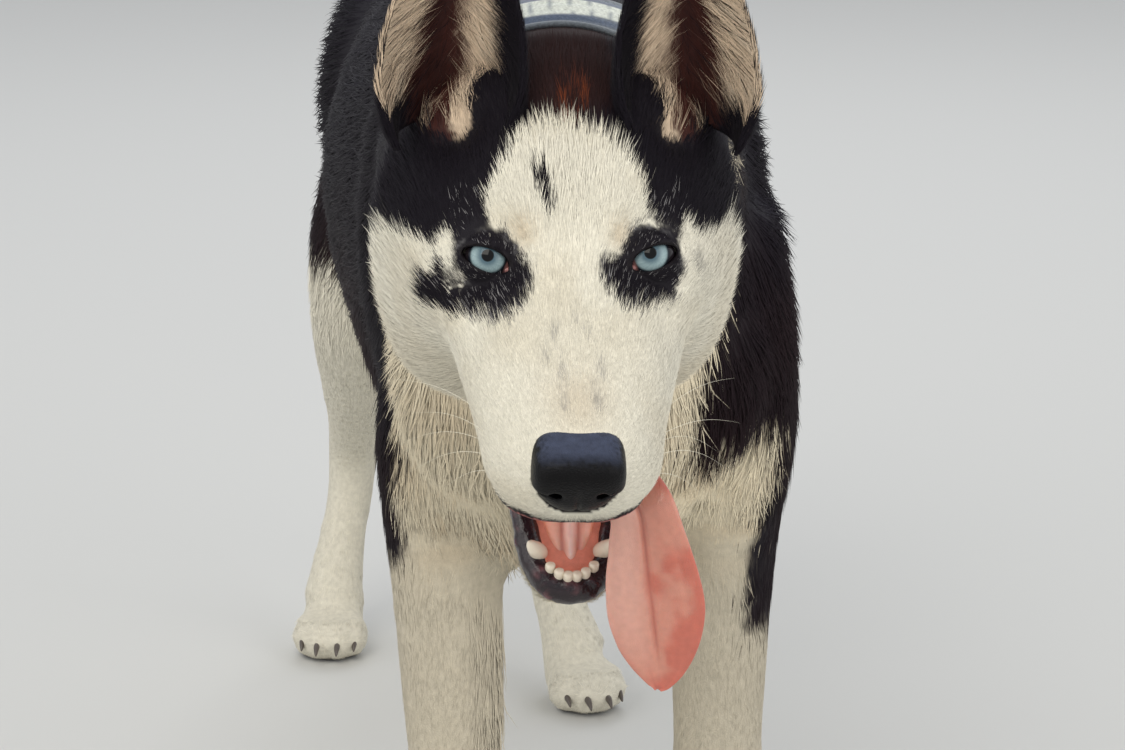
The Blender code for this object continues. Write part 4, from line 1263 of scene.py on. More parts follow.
    def black_depth(self, points: Array) -> tuple[Array, Array]:
        """How deep places on the body lie inside its black.

        Args:
            points: places in the modelling frame.

        Returns:
            The depth in metres, and how far each place lies above the flank's lower edge.
        """
        x, y, z = points.T
        side = np.abs(x - TRUNK_X)
        saddle = z - read_off(y, self.flank_edge)
        behind = y - read_off(z, self.front_edge)
        right = np.minimum(np.minimum(behind, z - 0.245), -x - 0.087)
        chest = np.minimum(x - read_off(z, self.chest_edge), z - 0.327)
        stripe = np.minimum(x - read_off(z, self.stripe_edge), z - 0.203)
        front = y < -0.10
        depth = np.minimum(saddle, behind)
        depth = np.where(front & (x < TRUNK_X), np.maximum(depth, right), depth)
        depth = np.where(front & (x > TRUNK_X), np.maximum(depth, np.maximum(chest, stripe)), depth)
        top = z - read_off(y, self.nape_edge)
        cheek = np.minimum(side - np.where(x > TRUNK_X, 0.060, 0.072), z - 0.405)
        depth = np.maximum(depth, np.maximum(top, cheek))
        spot = 0.007 - np.linalg.norm(points - (-0.100, -0.245, 0.324), axis=1)
        return np.maximum(depth, spot), saddle

    def body(self, points: Array, normals: Array) -> Array:
        """The coat's colour on the body.

        Args:
            points: places in the modelling frame.
            normals: the skin's normals there.

        Returns:
            Light values, one row for each place.
        """
        x, y, z = points.T
        fuzz = self.noise.at(points, 0.016) + 0.6 * self.noise.at(points, 0.006)
        depth, over = self.black_depth(points)
        share = step_up(depth + 0.007 * fuzz, -0.003, 0.003)
        dark = all_over(Tone.BLACK.light, points)
        # Painted sky reflection: black fur that faces up is blended toward slate
        blue = step_up(normals[:, 2] + 0.25 * self.noise.at(points, 0.05), 0.0, 0.9)
        dark = blend(dark, Tone.SLATE.light, 0.15 * blue)
        brown = step_up(self.noise.at(points, 0.07) - 8 * np.abs(over), -0.8, 0.6)
        dark = blend(dark, Tone.BROWN.light, 0.7 * brown)
        light = all_over(Tone.CREAM.light, points)
        light = blend(light, Tone.LEG.light, step_up(-z, -0.30, -0.22))
        light = blend(light, Tone.WHITE.light, 0.8 * step_up(y, 0.10, 0.2))
        # Warm waves across the breast: the fur's brownish tone and the shade in its folds, both painted in
        ripple = step_up(self.noise.at(points * (0.7, 1.0, 1.9), 0.022), 0.0, 0.8)
        breast_warmth_and_fold_shade = 0.35 * ripple * step_up(z, 0.22, 0.27) * step_up(-z, -0.40, -0.34) * step_up(-y, 0.12, 0.2)
        light = blend(light, Tone.WARM.light, breast_warmth_and_fold_shade)
        # Painted light: the pale coat on the dog's left of the chest is made lighter, standing in for fill
        # light on that side
        lit = step_up(x - TRUNK_X, 0.0, 0.03) * step_up(z, 0.24, 0.28)
        lit = lit * step_up(-z, -0.43, -0.39) * step_up(-y, 0.10, 0.15)
        light = light * (1 + 0.28 * lit)[:, None]
        colour = blend(light, dark, share)
        rows = spline(BODY.tail, 4)
        near, far = nearest_row(points, rows[:, :3])
        on_tail = (y > 0.30) & (far < 0.075) & (z > 0.12) & (near > 5)
        top = (normals * np.array((0, 0.92, 0.38))).sum(axis=1) + 0.25 * fuzz
        tail = blend(light, dark, step_up(top, -0.35, 0.05) * step_up(-near.astype(float), -27, -24))
        return np.where(on_tail[:, None], tail, colour)


class Lie:
    """The way the hair lies and how long it is, as functions of place."""

    muzzle_source = np.array((0.0, 128.0, -34.0))
    # Lengths in millimetres for the place forward on the head, height on the body and step down the tail
    head_lengths: Rows = (
        (-120, 30), (-85, 24), (-60, 20), (-40, 15), (-20, 11.0), (0, 8.5), (30, 6.5), (60, 5.2),
        (90, 4.2), (104, 3.0),
    )
    crown_lengths: Rows = ((-100, 8), (-75, 40))
    ear_mouth_length: float = 13.0
    body_lengths: Rows = (
        (0.0, 4.5), (0.03, 6.0), (0.10, 7.5), (0.20, 10.0), (0.25, 14.0), (0.30, 22.0), (0.35, 29.0),
    )
    nape_length: float = 7.0
    tail_lengths: Rows = ((3, 38), (9, 56), (18, 56), (24, 34))

    def __init__(self) -> None:
        """Sets the noise that parts the coat into locks and the paths of the limbs."""
        self.noise = Noise(11)
        self.paths = []
        for rows in (*BODY.legs(), BODY.tail):
            finer = spline(rows, 4)
            along = unit(np.gradient(finer[:, :3], axis=0))
            self.paths.append((finer[:, :3], along, finer[:, 3:6].max(axis=1)))

    def head(self, points: Array, normals: Array) -> Array:
        """Directions on the head: away from the tip of the muzzle.

        Args:
            points: places in the modelling frame.
            normals: the skin's normals there.

        Returns:
            Unit directions along the skin.
        """
        local = HEAD.local(points)
        way = unit(local - self.muzzle_source)
        back = step_up(-local[:, 1], 10, 90)
        way = way + back[:, None] * np.array((0.0, -0.3, -0.35))
        u, w = HEAD.chart(local)
        mouth = step_up(MARKINGS.ear_mouth.depth(np.abs(u), w), -2.0, 2.0)[:, None]
        out = np.stack([0.35 * np.sign(local[:, 0]), np.full(len(local), -0.1), np.ones(len(local))], axis=1)
        flow = HEAD.model_turn(way * (1 - mouth) + out * mouth)
        return self.flatten(points, normals, flow, 0.004, 0.16)

    def body(self, points: Array, normals: Array) -> Array:
        """Directions on the body: back along the trunk and down the limbs.

        Args:
            points: places in the modelling frame.
            normals: the skin's normals there.

        Returns:
            Unit directions along the skin.
        """
        down = np.array((0.0, 0.0, -1.0))
        _, y, z = points.T
        front = np.clip(-normals[:, 1], 0, 1) * step_up(-y, 0.16, 0.26) * step_up(-z, -0.50, -0.40)
        rear = np.clip(normals[:, 1], 0, 1) * step_up(y, 0.2, 0.3)
        flow = np.array((0.0, 0.95, -0.30)) + down * (2.6 * front + 2.0 * rear)[:, None]
        total = np.full(len(points), 0.35)
        flow = flow * 0.35
        for places, along, reach in self.paths:
            index, distance = nearest_row(points, places)
            share = step_up(-distance / reach[index], -1.9, -1.1)
            share *= step_up(index.astype(float), 4, 12) * 3.0
            flow += along[index] * share[:, None]
            total += share
        return self.flatten(points, normals, flow / total[:, None], 0.02, 0.22)

    def flatten(self, points: Array, normals: Array, flow: Array, size: float, sway: float) -> Array:
        """Lays directions along the skin and lets them wander a little.

        Args:
            points: places in the modelling frame.
            normals: the skin's normals there.
            flow: the directions.
            size: the size of one wave of the wandering, in metres.
            sway: how far they wander.

        Returns:
            Unit directions along the skin.
        """
        flow = unit(flow - normals * (flow * normals).sum(axis=1)[:, None])
        side = np.cross(normals, flow)
        return unit(flow + side * (sway * self.noise.at(points, size))[:, None])

    def head_length(self, points: Array) -> Array:
        """How long the hair is on the head, in millimetres.

        Args:
            points: places in the modelling frame.

        Returns:
            One length for each place.
        """
        local = HEAD.local(points)
        _, forward, up = local.T
        length = read_off(forward, self.head_lengths)
        length = np.where(up > 0, np.minimum(length, read_off(forward, self.crown_lengths)), length)
        length = length * (1 - 0.42 * step_up(up, 12, 24) * step_up(-forward, 20, 60))
        u, w = HEAD.chart(local)
        mouth = step_up(MARKINGS.ear_mouth.depth(np.abs(u), w), -2.0, 2.0)
        length = length + (self.ear_mouth_length - length) * mouth
        for s in (1, -1):
            centre, _ = FACE.eye(s)
            away = np.linalg.norm(local - np.array(centre) / MM, axis=1)
            length = np.minimum(length, 2.6 + 0.30 * np.clip(away - 13, 0, 100))
        return length

    def body_length(self, points: Array) -> Array:
        """How long the hair is on the body, in millimetres.

        Args:
            points: places in the modelling frame.

        Returns:
            One length for each place.
        """
        x, y, z = points.T
        length = read_off(z, self.body_lengths)
        length = length - 5 * step_up(-y, 0.20, 0.26) * step_up(z, 0.32, 0.38)
        between = step_up(-np.abs(x - TRUNK_X), -0.055, -0.035) * step_up(-z, -0.33, -0.28)
        length = length + 22 * between * step_up(-y, 0.10, 0.16)
        length = length * (1 - 0.5 * hump((y, COLLAR_Y, 0.03)) * (z > 0.40))
        length = np.where((y < COLLAR_Y - 0.010) & (z > 0.45), np.minimum(length, self.nape_length), length)
        near, far = nearest_row(points, spline(BODY.tail, 3)[:, :3])
        on_tail = (y > 0.30) & (far < 0.075) & (z > 0.11)
        return np.where(on_tail, read_off(near, self.tail_lengths), length)


MARKINGS = Markings()
LIE = Lie()


def depth_of(length: Array) -> Array:
    """How deep the skin lies under the tips of hair of some length in millimetres, in metres."""
    return (0.17 * length + 0.2) * MM


class Source(Enum):
    """Which form a face of the skin came from."""

    HEAD = 0
    BODY = 1
    EAR = 2


@dataclass
class Skin:
    """The one skin of the whole dog."""

    thing: Thing | None = None
    socket_gap: float = 0.15
    # How dark the skin is against the coat over it: painted shade deep under the tufts
    undercoat: float = 0.84
    # Half width of the mouth's floor for places forward on the closed jaw
    mouth_width: Rows = ((-60, 30), (35, 25), (80, 19), (104, 4))

    def build(self) -> None:
        """Joins the head, the ears and the body; the head and the body are drawn in by the coat's depth."""
        head = FACE.build()
        moved(head, HEAD.matrix())
        points, normals = points_of(head), normals_of(head)
        set_points(head, points - normals * depth_of(LIE.head_length(points))[:, None])
        back = HEAD.matrix()
        for s in (1, -1):
            socket = ball(FACE.eye(s)[0], ((FACE.eye_radius + self.socket_gap) * MM,) * 3, fine=48)
            for tool in (object_of("socket", socket), FACE.slit(s)):
                combine(head, moved(tool, back), "DIFFERENCE")
        self.mark(head, Source.HEAD)
        body = BODY.build()
        points, normals = points_of(body), normals_of(body)
        drawn = points - normals * depth_of(LIE.body_length(points))[:, None]
        drawn[:, 2] = np.where(points[:, 2] < 0.004, points[:, 2], drawn[:, 2])
        set_points(body, drawn)
        self.mark(body, Source.BODY)
        for s in (1, -1):
            ear = moved(FACE.ear(s), back)
            self.mark(ear, Source.EAR)
            combine(head, ear, "UNION")
        combine(head, body, "UNION")
        head.name = head.data.name = "skin"
        self.thing = head

    def mark(self, thing: Thing, source: Source) -> None:
        """Notes on every face of a form where it came from.

        Args:
            thing: the form.
            source: which form it is.
        """
        thing.data.materials.clear()
        for _ in Source:
            thing.data.materials.append(SKIN.material())
        thing.data.polygons.foreach_set("material_index", np.full(len(thing.data.polygons), source.value))

    def sources(self) -> Array:
        """The form that each face came from, as the value of Source."""
        return gather(self.thing.data.polygons, "material_index")

    def point_sources(self) -> Array:
        """The form that each point came from."""
        mesh = self.thing.data
        made = np.zeros(len(mesh.vertices), int)
        corners = gather(mesh.loops, "vertex_index")
        made[corners] = np.repeat(self.sources(), gather(mesh.polygons, "loop_total"))
        return made

    def colours(self, points: Array, normals: Array, source: Array) -> Array:
        """The coat's colour at places on the skin.

        Args:
            points: places in the modelling frame.
            normals: the skin's normals there.
            source: the form that each place is on, as the value of Source.

        Returns:
            Light values, one row for each place.
        """
        colour = np.zeros((len(points), 3))
        for form, paint in (
            (Source.BODY, lambda chosen: MARKINGS.body(points[chosen], normals[chosen])),
            (Source.HEAD, lambda chosen: MARKINGS.head(points[chosen])),
            (Source.EAR, lambda chosen: MARKINGS.ear(points[chosen])),
        ):
            chosen = source == form.value
            colour[chosen] = paint(chosen)
        return colour

    def bare(self, points: Array, normals: Array) -> tuple[Array, Array]:
        """Where the skin shows: the lids, the lips, the mouth and the soles.

        Args:
            points: places in the modelling frame.
            normals: the skin's normals there.

        Returns:
            The share that is bare and its colour.
        """
        local, facing = HEAD.local(points), HEAD.local_turn(normals)
        share = np.zeros(len(points))
        colour = all_over(Tone.LIP.light, points)
        for s in (1, -1):
            centre, axis = FACE.eye(s)
            side, up = FACE.eye_sides(s)
            away = local - np.array(centre) / MM
            along, across, out = away @ np.array(side), away @ np.array(up), away @ np.array(axis)
            ring = np.hypot(along / FACE.lid_half[0], across / FACE.lid_half[1])
            near = (out > 0) & (np.linalg.norm(away, axis=1) < 17)
            share = np.maximum(share, step_up(-ring, -1.26, -1.08) * near)
        shut = HEAD.jaw_local(local)
        for rows, place, reach in ((FACE.upper_lip, local, 3.6), (FACE.lower_lip, shut, 4.6)):
            line = spline(rows, 6)
            for s in (1, -1):
                _, far = nearest_row(place, line[:, :3] * (s, 1, 1))
                low = facing[:, 2] < 0.35 if reach < 4 else facing[:, 2] > -0.45
                share = np.maximum(share, step_up(-far, -reach, -reach + 1.0) * low)
        across, forward, level = shut.T
        floor = (np.abs(across) < read_off(forward, self.mouth_width)) & (level > -63)
        floor &= (facing[:, 2] > 0.2) & (forward > -60) & (forward < 101) & (local[:, 2] < -52)
        roof = (np.abs(local[:, 0]) < 27) & (local[:, 1] > -45) & (local[:, 2] < -48)
        roof &= (facing[:, 2] < -0.2) & (level > -60)
        colour[floor] = Tone.MOUTH.light
        colour[roof & ~floor] = Tone.PALATE.light
        share[floor | roof] = 1.0
        share[FACE.nose_zone(local) < 1.0] = 1.0
        sole = (points[:, 2] < 0.0045) & (normals[:, 2] < -0.5)
        share[sole] = 1.0
        colour[sole] = Tone.PAD.light
        return share, colour

    def dress(self) -> None:
        """Colours the skin as the coat over it, darkened as painted shade under the tufts, and seats it."""
        points, normals = points_of(self.thing), normals_of(self.thing)
        # Painted shade: the coat's colour is darkened where the skin shows between the tufts
        colour = self.colours(points, normals, self.point_sources()) * self.undercoat
        share, bare = self.bare(points, normals)
        tint(self.thing, blend(colour, bare, share))
        nodes = [name for name in frame["nodes"] if not name.startswith(("eye", "nose", "tongue", "collar"))]
        seat(self.thing, SKIN, "coat_white", *nodes)


@dataclass(frozen=True)
class TuftKind:
    """How many rings a tuft has for the length of its hair."""

    longest: float
    shares: tuple[float, ...]
    widths: tuple[float, ...]


KINDS = (
    TuftKind(18.0, (0.0,), (1.05,)),
    TuftKind(46.0, (0.0, 0.5), (0.8, 0.8)),
    TuftKind(900.0, (0.0, 0.4, 0.75), (0.7, 1.0, 0.6)),
)


@dataclass
class Roots:
    """Where tufts grow, which way and how."""

    place: Array
    normal: Array
    way: Array
    length: Array
    width: Array
    lift: Array
    root: Array
    tip: Array
    spread: Array

    def pick(self, chosen: Array) -> "Roots":
        """Some of the tufts."""
        return Roots(*(getattr(self, name)[chosen] for name in self.__dataclass_fields__))


@dataclass(frozen=True)
class Coat:
    """The coat, as many small tapered tufts."""

    seed: int = 5
    coverage: float = 2.15
    most: int = 190_000
    patch: float = 0.003
    # How many times over the body's tufts cover the skin, for height and for the place along the dog
    body_cover: Rows = ((0.0, 0.85), (0.05, 0.95), (0.12, 1.0), (0.25, 1.25), (0.32, 1.55))
    rear_cover: Rows = ((-0.16, 1.0), (-0.06, 0.55))
    rear_width: Rows = ((-0.16, 1.04), (-0.06, 1.2))
    flatness: Rows = ((0.22, 0.55), (0.34, 0.72), (0.42, 0.9))

    def sample(self, skin: Skin) -> tuple[Array, Array, Array]:
        """Spreads roots over the skin, closer where the hair is shorter and finer.

        Args:
            skin: the finished skin, before it is seated.

        Returns:
            Places, normals and the form each came from.
        """
        rng = np.random.default_rng(self.seed)
        mesh = skin.thing.data
        mesh.calc_loop_triangles()
        corner = gather(mesh.loop_triangles, "vertices", width=3)
        points, normals = points_of(skin.thing), normals_of(skin.thing)
        sides = points[corner]
        area = np.linalg.norm(np.cross(sides[:, 1] - sides[:, 0], sides[:, 2] - sides[:, 0]), axis=1) / 2
        middle = sides.mean(axis=1)
        source = skin.sources()[gather(mesh.loop_triangles, "polygon_index")]
        length = np.where(source == Source.BODY.value, LIE.body_length(middle), LIE.head_length(middle))
        wanted = area * 1e6 * self.cover(middle, source) / (0.5 * length * width_of(length))
        count = int(wanted.sum())
        marks = (np.arange(count) + rng.random(count)) * wanted.sum() / count
        chosen = np.searchsorted(np.cumsum(wanted), marks)
        chosen = np.clip(chosen, 0, len(area) - 1)
        a, b = rng.random((2, count))
        swap = a + b > 1
        a[swap], b[swap] = 1 - a[swap], 1 - b[swap]
        mix = np.stack([1 - a - b, a, b], axis=1)[:, :, None]
        place = (points[corner[chosen]] * mix).sum(axis=1)
        normal = unit((normals[corner[chosen]] * mix).sum(axis=1))
        return place, normal, source[chosen]

    def cover(self, places: Array, source: Array) -> Array:
        """How many times over the tufts cover the skin.

        Args:
            places: places in the modelling frame.
            source: the form that each is on, as the value of Source.

        Returns:
            One number for each place.
        """
        body = read_off(places[:, 2], self.body_cover) * read_off(places[:, 1], self.rear_cover)
        head = np.where(source == Source.EAR.value, 0.0, self.coverage)
        return np.where(source == Source.BODY.value, body, head)

    def grow(self, skin: Skin) -> None:
        """Grows the coat on the head and the body.

        Args:
            skin: the skin, before it is coloured and seated.
        """
        rng = np.random.default_rng(self.seed + 1)
        place, normal, source = self.sample(skin)
        on_body = source == Source.BODY.value
        bare, _ = skin.bare(place, normal)
        local = HEAD.local(place)
        inside = FACE.nose_zone(local) < 0.95
        keep = ((bare < 0.4) | (FACE.nose_zone(local) < 1.5)) & ~inside
        rise = (place[:, 2] - 0.471) / np.hypot(place[:, 0] + 0.031, place[:, 2] - 0.471)
        ring = np.abs(place[:, 1] - COLLAR_Y + 0.020 * rise) < 0.017
        keep &= ~(ring & (rise > 0.6) & (local[:, 1] < -60))
        place, normal, source, on_body = place[keep], normal[keep], source[keep], on_body[keep]
        count = len(place)
        way = np.empty((count, 3))
        way[on_body] = LIE.body(place[on_body], normal[on_body])
        way[~on_body] = LIE.head(place[~on_body], normal[~on_body])
        length = np.where(on_body, LIE.body_length(place), LIE.head_length(place))
        length = length * rng.uniform(0.7, 1.2, count)
        side = np.cross(normal, way)
        way = unit(way + side * rng.normal(0, 0.10, count)[:, None])
        shaken = place + rng.normal(0, 1, (count, 3)) * np.where(on_body, 3.5, 1.1)[:, None] * MM
        tone = skin.colours(shaken, normal, source)
        u, w = HEAD.chart(HEAD.local(place))
        patch = ~on_body & (np.abs(u) < 66) & (w < 60) & (tone[:, 1] < 0.05) & (rng.random(count) < 0.07)
        tone = np.where(patch[:, None], Tone.GREY.light * 1.1, tone)
        tone = tone * (1 + rng.normal(0, 0.05, count))[:, None]
        dark = step_up(-tone[:, 1], -0.10, -0.04)
        # Painted shade and light: each tuft runs from a darker root, shaded deep in the coat, to a lighter
        # tip; dark hairs brighten more toward their brownish tips
        root = tone * np.interp(dark, (0, 1), (0.93, 0.9))[:, None]
        tip = tone * np.interp(dark, (0, 1), (1.03, 1.10))[:, None]
        flat = read_off(place[:, 2], self.flatness)
        lift = np.radians(np.where(on_body, rng.normal(5.2, 1.6, count) * flat, rng.normal(8.0, 2.5, count)))
        width = width_of(length) * np.where(on_body, read_off(place[:, 1], self.rear_width), 1.03)
        width = width * MM * rng.uniform(0.75, 1.25, count)
        spread = self.unwrap(place, on_body)
        roots = Roots(place, normal, way, length * MM, width, lift, root, tip, spread)
        label = self.areas(place, on_body)
        for area in np.unique(label):
            self.piece(f"coat_{area}", roots.pick(label == area), rng)

    def areas(self, place: Array, on_body: Array) -> Array:
        """The name of the piece that each tuft belongs to.

        Args:
            place: roots in the modelling frame.
            on_body: true for those on the body.

        Returns:
            The names without their prefix.
        """
        x, y, z = place[:, 0] - TRUNK_X, place[:, 1], place[:, 2]
        local = HEAD.local(place)
        side = np.where(x > 0, "left", "right")
        name = np.where(y < -0.10, "shoulder_", np.where(y < 0.1, "flank_", "rump_"))
        name = np.char.add(name, side)
        name = np.where((y < -0.2) & (z < 0.46), "chest", name)
        leg = np.char.add(np.where(y < 0, "foreleg_", "hindleg_"), side)
        name = np.where(z < 0.26, leg, name)
        _, far = nearest_row(place, spline(BODY.tail, 2)[:, :3])
        name = np.where((far < 0.06) & (y > 0.335) & (z > 0.11), "tail", name)
        face = np.where(local[:, 1] > 25, "muzzle", "face")
        cheek = np.char.add("cheek_", np.where(local[:, 0] > 0, "left", "right"))
        head = np.where(local[:, 1] > -30, face, cheek)
        return np.where(on_body, name, head)

    def unwrap(self, place: Array, on_body: Array) -> Array:
        """Where each root lies on an unwrap of the dog's own shape.

        Args:
            place: roots in the modelling frame.
            on_body: true for those on the body.

        Returns:
            Map places from 0 to 1: the head, the trunk, the four legs and the tail each in a field.
        """
        u, w = HEAD.chart(HEAD.local(place))
        spread = np.stack([0.01 + 0.47 * (u + 180) / 360, 0.51 + 0.47 * (w + 180) / 360], axis=1)
        x, y, z = place[:, 0] - TRUNK_X, place[:, 1], place[:, 2]
        around = np.arctan2(x, z - 0.41) / (2 * math.pi) + 0.5
        trunk = np.stack([0.51 + 0.47 * around, 0.51 + 0.47 * np.clip((y + 0.45) / 0.85, 0, 1)], axis=1)
        made = np.where(on_body[:, None], trunk, spread)
        places = [spline(rows, 4)[:, :3] for rows in (*BODY.legs(), BODY.tail)]
        low = on_body & (z < 0.27)
        for k, rows in enumerate(places):
            index, far = nearest_row(place, rows)
            from_axis = place - rows[index]
            turn = np.arctan2(from_axis[:, 0], from_axis[:, 1]) / (2 * math.pi) + 0.5
            share = (index + 0.5) / len(rows)
            fits = (far < 0.06) & low if k < 4 else on_body & (far < 0.06) & (y > 0.335) & (z > 0.11)
            spot = np.stack([0.01 + 0.2 * k + 0.17 * turn, 0.01 + 0.47 * share], axis=1)
            made = np.where(fits[:, None], spot, made)
        return made

    def piece(self, name: str, roots: Roots, rng: np.random.Generator) -> None:
        """Makes one piece of the coat, or several where it has many tufts.

        Args:
            name: the piece's name.
            roots: its tufts.
            rng: the source of chance.
        """
        meshes = []
        low = 0.0
        for kind in KINDS:
            chosen = (roots.length > low * MM) & (roots.length <= kind.longest * MM)
            low = kind.longest
            if chosen.any():
                meshes.append(self.tufts(roots.pick(chosen), kind, rng))
        total = sum(len(faces) for _, _, faces, _, _ in meshes)
        parts = total // self.most + 1
        for part in range(parts):
            chunk = []
            for points, normals, faces, colours, spread in meshes:
                rings = len(points[0])
                cut = slice(part * len(points) // parts, (part + 1) * len(points) // parts)
                per = len(faces) // len(points)
                block = faces[cut.start * per : cut.stop * per] - cut.start * rings
                chunk.append((points[cut], normals[cut], block, colours[cut], spread[cut]))
            label = name if parts == 1 else f"{name}_{part + 1}"
            self.mesh(label, chunk)

    def tufts(self, roots: Roots, kind: TuftKind, rng: np.random.Generator) -> tuple[Array, ...]:
        """The points and faces of many tufts with the same number of rings.

        Args:
            roots: the tufts.
            kind: their rings.
            rng: the source of chance.

        Returns:
            Points and normals for each tuft, faces, colours and map places.
        """
        count, rings = len(roots.place), len(kind.shares)
        each = rings * 3 + 1
        side = np.cross(roots.normal, roots.way)
        points = np.empty((count, each, 3))
        normals = np.empty((count, each, 3))
        colours = np.empty((count, each, 3))
        spread = np.empty((count, each, 2))
        rise = np.sin(roots.lift)
        bend = rng.normal(0.0, 0.10, count)
        wave = rng.normal(0.0, 0.045, count)
        hook = np.where(rise > 0, rise * 0.30, 0.0)

        def path(share: float) -> Array:
            """The middle of the tuft at a share of its length."""
            run = roots.way * share
            out = roots.normal * (rise * share * 1.35 - hook * share * share * 1.35)[:, None]
            off = side * (bend * share * share + wave * math.sin(6.0 * share))[:, None]
            return roots.place + (run + out + off) * roots.length[:, None] - roots.normal * (0.25 * MM)

        for r, (share, wide) in enumerate(zip(kind.shares, kind.widths)):
            middle = path(share)
            half = (roots.width * wide * 0.5)[:, None]
            for k, (across, high) in enumerate(((-1.0, 0.0), (1.0, 0.0), (0.0, 0.8))):
                at = r * 3 + k
                points[:, at] = middle + side * half * across + roots.normal * half * high
                normals[:, at] = roots.normal * 0.9 + side * (0.55 * across) - roots.way * 0.1
                colours[:, at] = roots.root + (roots.tip - roots.root) * share
                spread[:, at] = roots.spread + np.array((across + 1, 2 * share)) * self.patch / 2
        points[:, -1] = path(1.0)
        normals[:, -1] = roots.normal * 0.8 + roots.way * 0.3
        colours[:, -1] = roots.tip
        spread[:, -1] = roots.spread + np.array((0.5, 1.0)) * self.patch
        shape = [(0, 2, 1)]
        for r in range(rings - 1):
            for k in range(3):
                a, b = r * 3 + k, r * 3 + (k + 1) % 3
                shape += [(a, b + 3, a + 3), (a, b, b + 3)]
        last = (rings - 1) * 3
        shape += [(last + k, last + (k + 1) % 3, each - 1) for k in range(3)]
        faces = np.array(shape)[None] + (np.arange(count) * each)[:, None, None]
        return points, normals, faces.reshape(-1, 3), colours, spread

    def mesh(self, name: str, chunk: list[tuple[Array, ...]]) -> None:
        """Makes and seats one piece from arrays.

        Args:
            name: the piece's name.
            chunk: what tufts() gives, one for each kind.
        """
        points, normals, colours, spread = (
            np.concatenate([c[k].reshape(-1, c[k].shape[-1]) for c in chunk]) for k in (0, 1, 3, 4)
        )
        normals = unit(normals)
        starts = np.cumsum([0] + [c[0].shape[0] * c[0].shape[1] for c in chunk[:-1]])
        faces = np.concatenate([c[2] + start for c, start in zip(chunk, starts)])
        points[:, 2] = np.maximum(points[:, 2], FLOOR_LEVEL + 0.0002)
        mesh = bpy.data.meshes.new(name)
        mesh.vertices.add(len(points))
        mesh.vertices.foreach_set("co", points.ravel())
        mesh.loops.add(len(faces) * 3)
        mesh.loops.foreach_set("vertex_index", faces.ravel().astype(np.int32))
        mesh.polygons.add(len(faces))
        mesh.polygons.foreach_set("loop_start", np.arange(len(faces), dtype=np.int32) * 3)
        mesh.update(calc_edges=True)
        layer = mesh.uv_layers.new(name="OFBake")
        layer.data.foreach_set("uv", spread[faces.ravel()].ravel().astype(np.float32))
        made = bpy.data.objects.new(name, mesh)
        bpy.context.scene.collection.objects.link(made)
        tint(made, np.clip(colours, 0, 1))
        seat(made, HAIR, "coat_white")
        mesh.normals_split_custom_set_from_vertices(normals.astype(np.float32))


def width_of(length: Array) -> Array:
    """The width of a tuft for the length of its hair, both in millimetres."""
    return 0.21 * length**0.37


